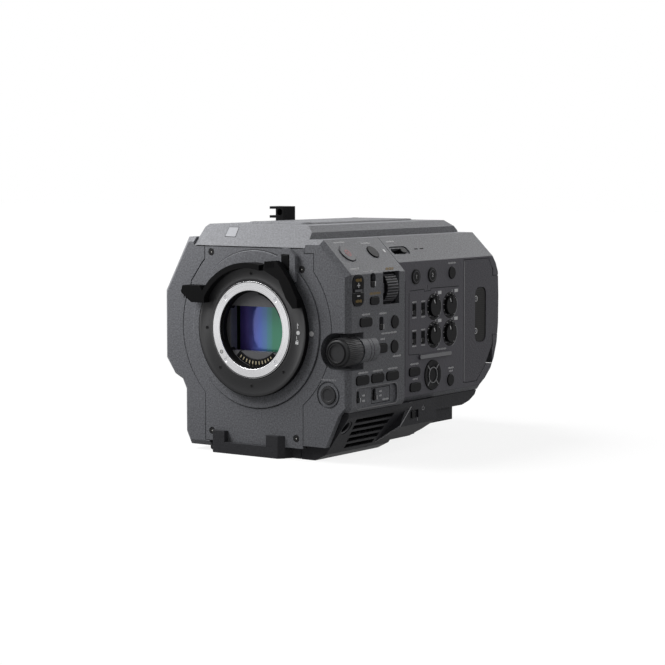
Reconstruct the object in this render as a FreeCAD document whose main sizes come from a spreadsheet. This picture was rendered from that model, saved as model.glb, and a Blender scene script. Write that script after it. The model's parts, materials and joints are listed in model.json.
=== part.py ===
# Cinema camera body with a bayonet lens mount, a control side and a media door.
# Origin: mouth of the front tripod thread, on the underside. X runs to the control side,
# Y runs from the lens mount to the battery bay, Z runs up. All sizes are millimetres.

import FreeCAD, Part
import Sketcher
import math
import os
import re

DRIVING = {
    # Overall places
    "flange_y": -60, "axis_height": 78.5, "front_setback": 5,
    "control_depth": 61, "cover_past": 4, "door_start": 139.5, "rear_past": 12,
    "side_x": 70, "audio_x": 65, "grip_x": 73.5, "sill_z": 31,
    "roof_z": 142.5, "shoulder_z": 134.5, "brow_z": 129.5, "shoulder_x": 49.5,
    "wall": 3, "seam": 0.4, "piece_gap": 0.05, "edge_chamfer": 3, "button_gap": 0.25, "run_gap": 0.15,
    # Front panel
    "panel_left": 39.5, "panel_right": 36, "panel_bottom": 7, "panel_bulge": 57.2,
    "panel_thick": 3.4, "panel_ear_x": 44, "panel_step_x": 37,
    "panel_step_z": 126, "panel_slant_x": 50.5, "panel_slant_z": 106.5,
    "panel_knee_x": 42, "panel_knee_z": 118,
    # Roof
    "roof_left": 48, "roof_right": 31, "roof_bend_x": 36.5, "roof_bend_z": 138.5,
    "deck_rise": 1, "deck_left": 34, "deck_right": 15, "deck_start": 34, "deck_back": 18,
    # Grip side
    "grip_foot_x": 57.5, "grip_foot_top": 38, "grip_waist_z": 57, "grip_hip_z": 44,
    "grip_upper_z": 100, "grip_slant_x": 54.5,
    # Lens mount
    "ring_outer": 30, "ring_throat": 24.3, "ring_depth": 6, "lock_outer": 41.5,
    "lock_front": 0.8, "lock_thick": 3.2, "boss_outer": 48.8, "boss_face": 4.2, "boss_depth": 8,
    "wing_front": 4.5, "wing_low": 15.6, "wing_high": 26.2, "wing_reach": 51.5, "rim_width": 3.4,
    "rim_end": 9.8, "hood_left": 12.5, "hood_top": 42.6, "hood_tip_x": 38, "hood_tip_z": 14.6,
    "hood_back": 0.75, "catch_x": 25.2, "catch_up": 42.3, "catch_width": 5.6, "catch_tall": 9,
    "catch_boss_rise": 3, "catch_boss_left": 18.8, "catch_boss_right": 32.4, "catch_travel": 2,
    # Light path
    "gate_width": 40, "gate_tall": 28, "contact_width": 22, "contact_drop": 20.6,
    "glass_width": 42, "glass_tall": 30, "glass_thick": 1.2, "board_thick": 1.6,
    "package_thick": 1.1, "bulkhead_thick": 4,
    # Function dial
    "dial_x": 65, "dial_z": 67.8, "dial_radius": 8.6, "dial_face_radius": 7.6, "dial_out": 6,
    "dial_length": 18, "dial_well": 11.3, "dial_well_x": 60.7, "dial_well_depth": 15.5,
    "dial_press": 1, "shaft_radius": 3, "collar_length": 13,
    # Front round button
    "white_set_x": 55, "white_set_z": 41.3, "white_set_radius": 5.4, "white_set_ring": 8.3,
    # Wheel
    "wheel_radius": 11, "wheel_width": 12.4, "wheel_rise": 1.6, "wheel_pin": 1.5,
    "wheel_y": 45.7, "wheel_z": 104.4, "wheel_pocket_y": 18, "wheel_pocket_z": 20,
    # Button bezel
    "bezel_y": 30.3, "bezel_z": 39.2, "bezel_width": 45, "bezel_tall": 12.4, "bezel_deep": 1.5,
    "rocker_pin_radius": 0.8,
    # Button make-up
    "button_rise": 0.7, "button_travel": 0.8, "button_lip": 0.7, "lip_thick": 1,
    # Slope buttons
    "slope_along": 58, "record_y": 15.7, "record_radius": 6.2, "review_y": 43.2,
    "review_radius": 4.6, "hold_y": 73.3, "hold_width": 20, "hold_tall": 7,
    # Audio dials
    "audio_dial_radius": 6, "audio_dial_rise": 1.6, "audio_pin": 1.5, "audio_well": 7,
    "audio_well_deep": 1.2,
    # Pad
    "pad_y": 101.4, "pad_z": 45.5, "pad_outer": 9.6, "pad_inner": 4.4,
    # Ridge under the audio dials
    "ridge_y": 104, "ridge_z": 58.1, "ridge_width": 38, "ridge_tall": 3, "ridge_rise": 1.2,
    # Media door
    "door_low": 37, "door_high": 117.5, "door_thick": 2.6,
    "knuckle_radius": 2.2, "door_pin": 1, "hinge_low": 66, "hinge_high": 106, "hinge_clear": 0.8,
    "window_back": 2.95, "window_z": 80.6,
    "window_width": 14, "window_tall": 36.6, "window_deep": 1.2,
    # Base
    "base_top": 8, "shoe_front": -3.7, "shoe_left": 31, "shoe_right": 19.5, "shoe_ear": 14,
    "shoe_ear_width": 9, "base_left": 47, "base_right": 38, "base_length": 145,
    "flank_x": 50, "flank_z": 4, "flank_top_x": 67, "flank_front": 4.4, "louver_count": 5,
    "louver_tall": 2.6, "louver_start": 14, "louver_length": 44, "skirt_z": 34,
    "power_block_x": 65.5, "power_block_z": 16, "power_block_end": 105, "heel_z": 6,
    "step_end": 131, "step_z": 13.8, "tail_z": 22,
    "tail_back": 16, "thread_radius": 3.175, "thread_deep": 7, "big_thread_radius": 4.76,
    "big_thread_y": 20, "strap_port_y": 5, "strap_port_z": 21, "strap_port_radius": 4.2,
    # Power switch
    "power_y": 79.7, "power_z": 22.6, "power_slot": 9, "power_tall": 5, "power_slide": 3,
    # Chassis
    "frame_left": 36, "frame_right": 33, "frame_low": 9, "frame_high": 126, "frame_plate": 3,
    "frame_length": 172, "rosette_y": 95, "rosette_z": 75, "rosette_radius": 14,
    "rosette_bolt": 3, "rosette_stand": 2.5,
    # Cooling
    "sink_front": 60, "sink_rear": 108, "sink_left": 24, "sink_right": 22, "sink_low": 40,
    "sink_high": 96, "fin_count": 9, "fin_thick": 1.6, "fan_radius": 20, "fan_hub": 8,
    "fan_thick": 11, "fan_pin": 2, "blade_count": 7, "blade_thick": 1.4, "blade_lead": 2.6,
    # Battery bay and rear
    "bay_left": 50, "bay_right": 20, "bay_low": 46, "bay_high": 118, "bay_depth": 36,
    "battery_gap_left": 45, "battery_gap_right": 15, "battery_deep": 31,
    "latch_x": 26, "latch_z": 108, "latch_radius": 4, "plug_radius": 6, "plug_length": 10,
    "plug_x": 44, "plug_low": 62, "plug_pitch": 20, "plug_count": 3,
    # Card reader
    "reader_inner": 40, "reader_set": 3.5, "reader_past": 3, "reader_low": 48,
    "reader_tall": 60, "slot_tall": 5, "slot_end": 3, "slot_deep": 14,
    # Cable clip
    "clip_x": -40.8, "clip_y": 80, "clip_wide": 6.6, "clip_long": 12.8, "clip_tall": 9.8,
    "prong_long": 5.8, "prong_thick": 1.7, "fork_tall": 7.6,
    # Screws
    "screw_head": 2.2, "screw_head_thick": 1.2, "screw_shank": 1.2, "screw_length": 7,
    "ring_screw_circle": 27.2,
}

# Screws of the front panel: distance from the lens axis, height.
PANEL_SCREWS = {
    "upper_left_screw": (-34.5, 125.4),
    "upper_right_screw": (35.3, 116.5),
    "lower_left_screw": (-34.5, 13),
    "lower_right_screw": (31, 13),
}

# Side buttons and slide switches: distance behind the front face, height, width, tall.
SIDE_BUTTONS = {
    "status_button": (18, 84.9, 13, 5.4),
    "iris_button": (35.4, 67.9, 11.4, 5.6),
    "iso_button": (14.5, 49.9, 13.6, 5.4),
    "white_button": (30.8, 50, 13.6, 5.4),
    "shutter_button": (47.2, 50, 13.6, 5.4),
    "nd_auto_button": (27.3, 97.4, 9.4, 4.6),
    "focus_button": (49.7, 83.1, 8, 8),
    "iris_auto_button": (49.3, 67.9, 8, 8),
}
AUDIO_BUTTONS = {
    "assign_button_1": (81.2, 109.3, 9.4, 9.4),
    "assign_button_2": (100.2, 109.6, 9.4, 9.4),
    "slot_button": (124.3, 109.9, 7.8, 7.8),
    "thumbnail_button": (80, 49.3, 12.6, 5.4),
    "menu_button": (80.9, 39.4, 12.6, 5.4),
    "cancel_button": (123.1, 40.4, 7.6, 7.6),
}
# Slide switches: the same four sizes are the slot's, and the knob inside it slides upright.
SIDE_SWITCHES = {
    "nd_mode_switch": (25.7, 109.8, 5, 8.4),
    "focus_switch": (35, 83, 4, 8),
    "gain_switch": (11.2, 39.8, 3.4, 7),
    "white_switch": (29.2, 39.8, 3.4, 7),
}
AUDIO_SWITCHES = {
    "audio_switch_1": (79.6, 88.5, 3.4, 7),
    "audio_switch_2": (90, 88.5, 3.4, 7),
    "audio_switch_3": (79.6, 70.5, 3.4, 7),
    "audio_switch_4": (90, 70.5, 3.4, 7),
}
AUDIO_DIALS = {
    "audio_dial_1": (102.9, 89.2),
    "audio_dial_2": (122.2, 89.2),
    "audio_dial_3": (102.9, 71.2),
    "audio_dial_4": (122.2, 71.2),
}
ROCKER = {"nd_rocker": (9.6, 104.4, 11.6, 18.6)}

# Places that follow from the driving sizes.
DERIVED = {
    "front_y": "(flange_y + front_setback)",
    "cover_depth": "(frame_length + cover_past)",
    "rear_depth": "(frame_length + rear_past)",
    "deck_end": "(cover_depth - deck_back)",
    "tail_end": "(cover_depth - tail_back)",
    "window_y": "((door_start + cover_depth) / 2 + window_back)",
    "reader_front": "(door_start + reader_set)",
    "reader_length": "(frame_length + reader_past - reader_front)",
    "slot_length": "(reader_length - slot_end * 2)",
    "catch_z": "(axis_height + catch_up)",
    "seam_y": "(front_y + control_depth)",
    "cover_y": "(front_y + cover_depth)",
    "door_y": "(front_y + door_start)",
    "rear_y": "(front_y + rear_depth)",
    "slope_sum": "(shoulder_x + shoulder_z)",
    "audio_top_z": "(slope_sum - audio_x)",
    "lock_back": "(flange_y + lock_front + lock_thick)",
    "boss_front": "(flange_y + boss_face)",
    "boss_back": "(boss_front + boss_depth)",
    "bulkhead_back": "(boss_back + bulkhead_thick)",
    "glass_front": "(bulkhead_back + 0.7)",
    "package_front": "(glass_front + glass_thick)",
    "board_front": "(package_front + package_thick)",
    "dial_front": "(front_y - dial_out)",
    "dial_back": "(dial_front + dial_length)",
    "well_back": "(front_y + dial_well_depth)",
    "sink_y": "(front_y + sink_front)",
    "fan_y": "(front_y + sink_rear)",
    "bay_back": "(rear_y + bay_depth)",
    "door_face": "(audio_x - door_thick)",
    "hinge_y": "(rear_y - knuckle_radius - seam)",
    "hinge_x": "(audio_x - knuckle_radius)",
    "wheel_x": "(side_x + wheel_rise - wheel_radius)",
    "slope_z": "(slope_sum - slope_along)",
    "rocker_x": "(side_x - wall / 2)",
    "base_front": "(front_y + 4)",
    "base_back": "(front_y + base_length)",
}
FUNCTIONS = {"sqrt", "sin", "cos", "tan", "min", "max"}

doc = FreeCAD.newDocument("cinema_camera")
sheet = doc.addObject("Spreadsheet::Sheet", "Sizes")


def fill_sheet():
    """Write every driving size into the sheet and give its cell the size's name."""
    cells = dict(DRIVING)
    for name, (across, up) in PANEL_SCREWS.items():
        cells.update({f"{name}_x": across, f"{name}_z": up})
    for table in (SIDE_BUTTONS, AUDIO_BUTTONS, SIDE_SWITCHES, AUDIO_SWITCHES, AUDIO_DIALS, ROCKER):
        for name, sizes in table.items():
            for part, value in zip(("back", "up", "wide", "tall"), sizes):
                cells[f"{name}_{part}"] = value
    for row, (name, value) in enumerate(cells.items(), start=1):
        sheet.set(f"A{row}", name)
        sheet.set(f"B{row}", str(value))
        sheet.setAlias(f"B{row}", name)
    doc.recompute()


def ref(text):
    """Turn a sum of size names into an expression on the sheet's cells."""
    text = str(text)
    while True:
        spread = re.sub(r"[a-z][a-z_0-9]*", lambda word: DERIVED.get(word.group(), word.group()), text)
        if spread == text:
            break
        text = spread
    def cell(word):
        return word.group() if word.group() in FUNCTIONS else "Sizes." + word.group()
    return re.sub(r"[a-z][a-z_0-9]*", cell, text)


def bind(thing, sums):
    """Bind properties of an object to sums of size names."""
    for path, text in sums.items():
        thing.setExpression(path, ref(text))


def box(name, x, y, z):
    """Block between two values on each axis."""
    block = doc.addObject("Part::Box", name)
    for axis, side, (low, high) in zip("xyz", ("Length", "Width", "Height"), (x, y, z)):
        bind(block, {side: f"({high}) - ({low})", f"Placement.Base.{axis}": low})
    return block


AXIS_TURN = {
    "x": FreeCAD.Rotation(FreeCAD.Vector(0, 1, 0), 90),
    "y": FreeCAD.Rotation(FreeCAD.Vector(1, 0, 0), -90),
    "z": FreeCAD.Rotation(),
}


def rod(name, axis, radius, start, end, centre):
    """Cylinder along an axis, from start to end, about the other two coordinates."""
    bar = doc.addObject("Part::Cylinder", name)
    place(bar, axis, start, centre)
    bind(bar, {"Radius": radius, "Height": f"({end}) - ({start})"})
    return bar


def taper(name, axis, first, last, start, end, centre):
    """Cone frustum along an axis, its radius first at start and last at end."""
    cone = doc.addObject("Part::Cone", name)
    place(cone, axis, start, centre)
    bind(cone, {"Radius1": first, "Radius2": last, "Height": f"({end}) - ({start})"})
    return cone


def place(solid, axis, start, centre):
    """Turn a solid of revolution to an axis and move its start there."""
    solid.Placement = FreeCAD.Placement(FreeCAD.Vector(), AXIS_TURN[axis])
    others = [other for other in "xyz" if other != axis]
    sums = {f"Placement.Base.{axis}": start}
    sums.update({f"Placement.Base.{other}": text for other, text in zip(others, centre)})
    bind(solid, sums)


def fuse(name, *solids):
    """Join solids into one."""
    joined = doc.addObject("Part::MultiFuse", name)
    joined.Shapes = list(solids)
    joined.Refine = True
    return joined


def cut(name, base, *tools):
    """Take tools away from a solid."""
    trimmed = doc.addObject("Part::Cut", name)
    trimmed.Base = base
    trimmed.Tool = tools[0] if len(tools) == 1 else fuse(name + "_tools", *tools)
    trimmed.Refine = True
    return trimmed


def common(name, first, second):
    """Keep what two solids share."""
    shared = doc.addObject("Part::Common", name)
    shared.Base, shared.Tool = first, second
    return shared


def group(name, *solids):
    """Hold separate solids as one sub-part."""
    held = doc.addObject("Part::Compound", name)
    held.Links = list(solids)
    return held


def origin_plane(body, role):
    """Find a plane of the body's own origin."""
    return next(plane for plane in body.Origin.OriginFeatures if plane.Role == role)


PLANES = {"x": ("YZ_Plane", 1), "y": ("XZ_Plane", -1), "z": ("XY_Plane", 1)}


def sketch_on(body, axis, start, name):
    """Make a sketch square to an axis, at a distance along it."""
    role, sign = PLANES[axis]
    sketch = body.newObject("Sketcher::SketchObject", name)
    sketch.AttachmentSupport = (origin_plane(body, role), [""])
    sketch.MapMode = "FlatFace"
    sketch.setExpression("AttachmentOffset.Base.z", f"{sign} * ({ref(start)})")
    return sketch


def prism(name, axis, corners, start, end):
    """Straight-sided solid: corners across the axis, as sums, from start to end."""
    body = doc.addObject("PartDesign::Body", name)
    sketch = sketch_on(body, axis, start, name + "_outline")
    count = len(corners)
    turn = 2 * math.pi / count
    spots = [FreeCAD.Vector(math.cos(turn * index), math.sin(turn * index), 0) for index in range(count)]
    sketch.addGeometry([Part.LineSegment(spots[index], spots[(index + 1) % count]) for index in range(count)])
    joins = [Sketcher.Constraint("Coincident", index, 2, (index + 1) % count, 1) for index in range(count)]
    sketch.addConstraint(joins)
    for index, (across, up) in enumerate(corners):
        for kind, text, size in (("DistanceX", across, spots[index].x), ("DistanceY", up, spots[index].y)):
            number = sketch.addConstraint(Sketcher.Constraint(kind, -1, 1, index, 1, size))
            sketch.setExpression(f"Constraints[{number}]", ref(text))
    pad = body.newObject("PartDesign::Pad", name + "_pad")
    pad.Profile = sketch
    pad.Reversed = PLANES[axis][1] < 0
    bind(pad, {"Length": f"({end}) - ({start})"})
    return body


def soften(body, pick, size, kind="Fillet"):
    """Round or bevel the body's edges that pick chooses by their middle and direction."""
    doc.recompute()
    names = []
    for number, edge in enumerate(body.Shape.Edges, start=1):
        middle = edge.valueAt((edge.FirstParameter + edge.LastParameter) / 2)
        along = edge.tangentAt((edge.FirstParameter + edge.LastParameter) / 2)
        if pick(middle, along):
            names.append(f"Edge{number}")
    base = body.Tip
    feature = body.newObject("PartDesign::" + kind, body.Name + "_" + kind.lower())
    feature.Base = (base, names)
    bind(feature, {"Radius" if kind == "Fillet" else "Size": size})
    body.Tip = feature
    return body


def pill(name, axis, start, end, centre, wide, tall):
    """Oblong block with rounded corners, along an axis."""
    across, up = centre
    corners = [(f"{across} + {side} * ({wide}) / 2", f"{up} + {level} * ({tall}) / 2")
               for side, level in ((-1, -1), (1, -1), (1, 1), (-1, 1))]
    along = "xyz".index(axis)
    body = prism(name, axis, corners, start, end)
    return soften(body, lambda middle, way: abs(way[along]) > 0.99, f"min({wide}; {tall}) * 0.36")


KEPT = []


def keep(label, thing):
    """Name a finished sub-part and mark it for writing."""
    thing.Label = label
    KEPT.append(thing)
    return thing


def panel_outline(name, grow, start, end):
    """Front panel form: straight sides, a step at the lever side and a round bulge."""
    corners = [
        (f"-panel_left - {grow}", f"panel_bottom - {grow}"),
        (f"panel_right + {grow}", f"panel_bottom - {grow}"),
        (f"panel_right + {grow}", "axis_height"),
        (f"panel_ear_x + {grow}", "axis_height"),
        (f"panel_ear_x + {grow}", f"panel_step_z + {grow}"),
        (f"panel_step_x + {grow}", f"panel_step_z + {grow}"),
        (f"panel_step_x + {grow}", f"brow_z + {grow}"),
        (f"-panel_left - {grow}", f"brow_z + {grow}"),
        (f"-panel_left - {grow}", f"panel_knee_z + 2.6 + {grow}"),
        (f"-panel_knee_x - {grow}", f"panel_knee_z + {grow}"),
        (f"-panel_slant_x - {grow}", f"panel_slant_z + {grow}"),
        ("-panel_left", "axis_height"),
    ]
    flat = prism(name + "_flat", "y", corners, start, end)
    disc = rod(name + "_disc", "y", f"panel_bulge + {grow}", start, end, ("0", "axis_height"))
    above = box(name + "_above", ("-side_x", "side_x"), (f"{start} - 1", f"{end} + 1"),
                (f"brow_z + {grow}", "roof_z + 10"))
    return fuse(name, flat, cut(name + "_bulge", disc, above))


def screw_rods(name, start, end, radius):
    """One rod for each screw of the front panel."""
    return [rod(f"{name}_{screw}", "y", radius, start, end, (f"{screw}_x", f"{screw}_z"))
            for screw in PANEL_SCREWS]


def make_front_panel():
    """Centre panel round the lens mount."""
    plate = panel_outline("panel_plate", "0", "front_y", "front_y + panel_thick")
    opening = rod("panel_opening", "y", "boss_outer + seam", "boss_front - button_gap",
                  "front_y + panel_thick + 1", ("0", "axis_height"))
    boss = prism("catch_boss", "y", [
        ("catch_boss_left", "catch_z - 3"), ("catch_boss_left + 8", "catch_z - 9"),
        ("catch_boss_right", "catch_z - 12"), ("catch_boss_right", "catch_z + 4"),
        ("catch_x + 1.6", "catch_z + 8.4"), ("catch_x - 2.4", "catch_z + 8.4"),
        ("catch_boss_left", "catch_z + 3"),
    ], "front_y - catch_boss_rise", "front_y + 1")
    pocket = box("catch_pocket", ("catch_x - catch_width / 2 - button_gap", "catch_x + catch_width / 2 + button_gap"),
                 ("front_y - catch_boss_rise - 1", "boss_front"),
                 ("catch_z - catch_tall / 2 - button_gap - catch_travel", "catch_z + catch_tall / 2 + button_gap"))
    well = rod("panel_well", "y", "dial_well", "front_y - 1", "front_y + panel_thick + 1",
               ("dial_well_x", "dial_z"))
    whole = fuse("panel_mass", plate, boss)
    seats = screw_rods("panel_seat", "front_y - 1", "front_y + screw_head_thick", "screw_head + run_gap")
    shanks = screw_rods("panel_shank", "front_y", "front_y + panel_thick + 1", "screw_shank + run_gap")
    return keep("front_panel", cut("panel_body", whole, opening, pocket, well, *seats, *shanks))


def brow_cut(name):
    """Wedge in front of the roof's sloped brow."""
    corners = [("front_y - 2", "brow_z - 2"), ("front_y + roof_z - brow_z + 3", "roof_z + 3"),
               ("front_y - 2", "roof_z + 3")]
    return prism(name, "x", corners, "-grip_x", "side_x")


def tail_cut(name):
    """Wedge behind the roof's sloped rear end."""
    corners = [("cover_y + 1", "shoulder_z"), ("cover_y + 1", "roof_z + 3"),
               ("cover_y - roof_z + shoulder_z - 2.5", "roof_z + 3")]
    return prism(name, "x", corners, "-grip_x", "side_x")


def roof_outline(name, inset, start, end):
    """Roof section, drawn in by an inset."""
    corners = [
        (f"-roof_left + {inset}", "brow_z"), (f"-roof_left + {inset}", f"roof_z - 2 - {inset}"),
        (f"2 - roof_left + {inset}", f"roof_z - {inset}"), (f"roof_right - {inset} / 2", f"roof_z - {inset}"),
        (f"roof_bend_x - {inset}", f"roof_bend_z - {inset} / 2"),
        (f"roof_bend_x + 1 - {inset}", f"shoulder_z"), (f"roof_bend_x + 1 - {inset}", "brow_z"),
    ]
    return prism(name, "y", corners, start, end)


def make_top_cover():
    """Roof with its sloped brow and its raised deck."""
    shell = roof_outline("roof_outer", "0", "front_y", "cover_y")
    deck = prism("roof_deck", "z", [
        ("-deck_left", "front_y + deck_start"), ("deck_right", "front_y + deck_start"),
        ("deck_right", "front_y + deck_end"), ("-deck_left", "front_y + deck_end"),
    ], "roof_z - 1", "roof_z + deck_rise")
    soften(deck, lambda middle, way: abs(way.z) > 0.9, "deck_rise * 6")
    top = DRIVING["roof_z"] + DRIVING["deck_rise"] / 2
    soften(deck, lambda middle, way: abs(way.z) < 0.1 and middle.z > top, "deck_rise * 0.8", "Chamfer")
    hollow = roof_outline("roof_inner", "wall", "front_y + roof_z - brow_z", "cover_y - wall * 2.4")
    whole = fuse("roof_whole", shell, deck)
    clip_seat = rod("roof_clip_hole", "z", "2", "roof_z - wall - 1", "roof_z + 1",
                    ("clip_x", "front_y + clip_y + clip_long / 2"))
    return keep("top_cover", cut("roof_body", whole, hollow, brow_cut("brow_wedge"),
                                 tail_cut("tail_wedge"), clip_seat))


def grip_outline(name, inset, start, end):
    """Grip side section, drawn in by an inset."""
    corners = [
        ("-panel_right", f"3 + {inset}"), (f"4 - grip_foot_x + {inset}", f"3 + {inset}"),
        (f"-grip_foot_x + {inset}", f"11 + {inset}"), (f"-grip_foot_x + {inset}", "grip_foot_top"),
        (f"-grip_foot_x - 3 + {inset}", f"grip_hip_z + {inset} / 2"),
        (f"-grip_x + 7 + {inset}", f"grip_waist_z - 10 + {inset}"),
        (f"-grip_x + {inset}", f"grip_waist_z + {inset}"), (f"-grip_x + {inset}", "grip_upper_z"),
        (f"-grip_slant_x + {inset}", f"shoulder_z - {inset}"), ("-panel_right", f"shoulder_z - {inset}"),
    ]
    return prism(name, "y", corners, start, end)


def make_grip_side_cover():
    """Cover of the hand grip side, with the arm's rosette opening."""
    shell = grip_outline("grip_outer", "0", "front_y", "cover_y")
    soften(shell, lambda middle, way: middle.y < shell.Shape.BoundBox.YMin + 1
           and middle.x < -DRIVING["panel_right"] - 0.5, "edge_chamfer", "Chamfer")
    hollow = grip_outline("grip_inner", "wall", "front_y + wall", "cover_y + 1")
    panel = panel_outline("grip_panel_seat", "seam", "front_y - 1", "front_y + wall * 2")
    roof = box("grip_roof_seat", ("-roof_left - seam", "0"), ("front_y - 1", "cover_y + 1"),
               ("brow_z", "roof_z"))
    middle = box("grip_middle", ("-frame_left - seam", "0"), ("front_y - 1", "cover_y + 1"),
                 ("0", "shoulder_z + 1"))
    rosette = rod("grip_rosette_hole", "x", "rosette_radius + seam", "-grip_x - 1", "-grip_x + wall + 9",
                  ("front_y + rosette_y", "rosette_z"))
    floor = box("grip_floor_seat", ("-base_left - seam", "0"), ("base_front - seam", "cover_y + 1"),
                ("0", "base_top + seam"))
    return keep("grip_side_cover", cut("grip_body", shell, hollow, panel, roof, middle, rosette, floor))


def side_outline(name, inset, side, start, end):
    """Control side section out to a side wall, drawn in by an inset."""
    inset = f"({inset})"
    corners = [
        ("panel_right - 2", f"sill_z + {inset}"), (f"{side} - 2 - {inset}", f"sill_z + {inset}"),
        (f"{side} - {inset}", f"sill_z + 3 + {inset} * 0.3"),
        (f"{side} - {inset}", f"slope_sum - ({side}) - {inset} * 0.414"),
        (f"shoulder_x - {inset} * 0.414", f"shoulder_z - {inset}"),
        ("panel_right - 2", f"shoulder_z - {inset}"),
    ]
    return prism(name, "y", corners, start, end)


def switch_holes(prefix, table, face, deep):
    """Slots through a side wall, one for each switch or button of a table."""
    tools = []
    for name, sizes in table.items():
        centre = (f"front_y + {name}_back", f"{name}_up")
        ends = (f"{face} - ({deep})", f"{face} + 1")
        tools.append(side_form(f"{prefix}_{name}", name, sizes, ends, "button_gap", centre))
    return tools


def side_form(label, name, sizes, ends, grow, centre):
    """Round or oblong form of one entry of a table, grown by an amount on every side."""
    start, end = ends
    if sizes[2] == sizes[3]:
        return rod(label, "x", f"{name}_wide / 2 + {grow}", start, end, centre)
    return pill(label, "x", start, end, centre, f"{name}_wide + 2 * {grow}", f"{name}_tall + 2 * {grow}")


def on_slope(solid, out, along_y):
    """Turn a solid drawn along Z square to the button slope, out from its face by an amount."""
    solid.Placement = FreeCAD.Placement(FreeCAD.Vector(), FreeCAD.Rotation(FreeCAD.Vector(0, 1, 0), 45))
    bind(solid, {
        "Placement.Base.x": f"slope_along + ({out}) * 0.70711",
        "Placement.Base.y": along_y,
        "Placement.Base.z": f"slope_z + ({out}) * 0.70711",
    })
    return solid


def slope_rod(name, radius, low, high, along_y):
    """Cylinder square to the button slope, from low to high out of its face."""
    bar = doc.addObject("Part::Cylinder", name)
    bind(bar, {"Radius": radius, "Height": f"({high}) - ({low})"})
    return on_slope(bar, low, along_y)


def slope_block(name, wide, tall, low, high, along_y):
    """Block square to the button slope, wide along Y."""
    corners = [(f"{side} * ({tall}) / 2", f"{way} * ({wide}) / 2")
               for side, way in ((-1, -1), (1, -1), (1, 1), (-1, 1))]
    block = prism(name, "z", corners, "0", f"({high}) - ({low})")
    soften(block, lambda middle, way: abs(way.z) > 0.99, f"({tall}) * 0.4")
    return on_slope(block, low, along_y)


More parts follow.
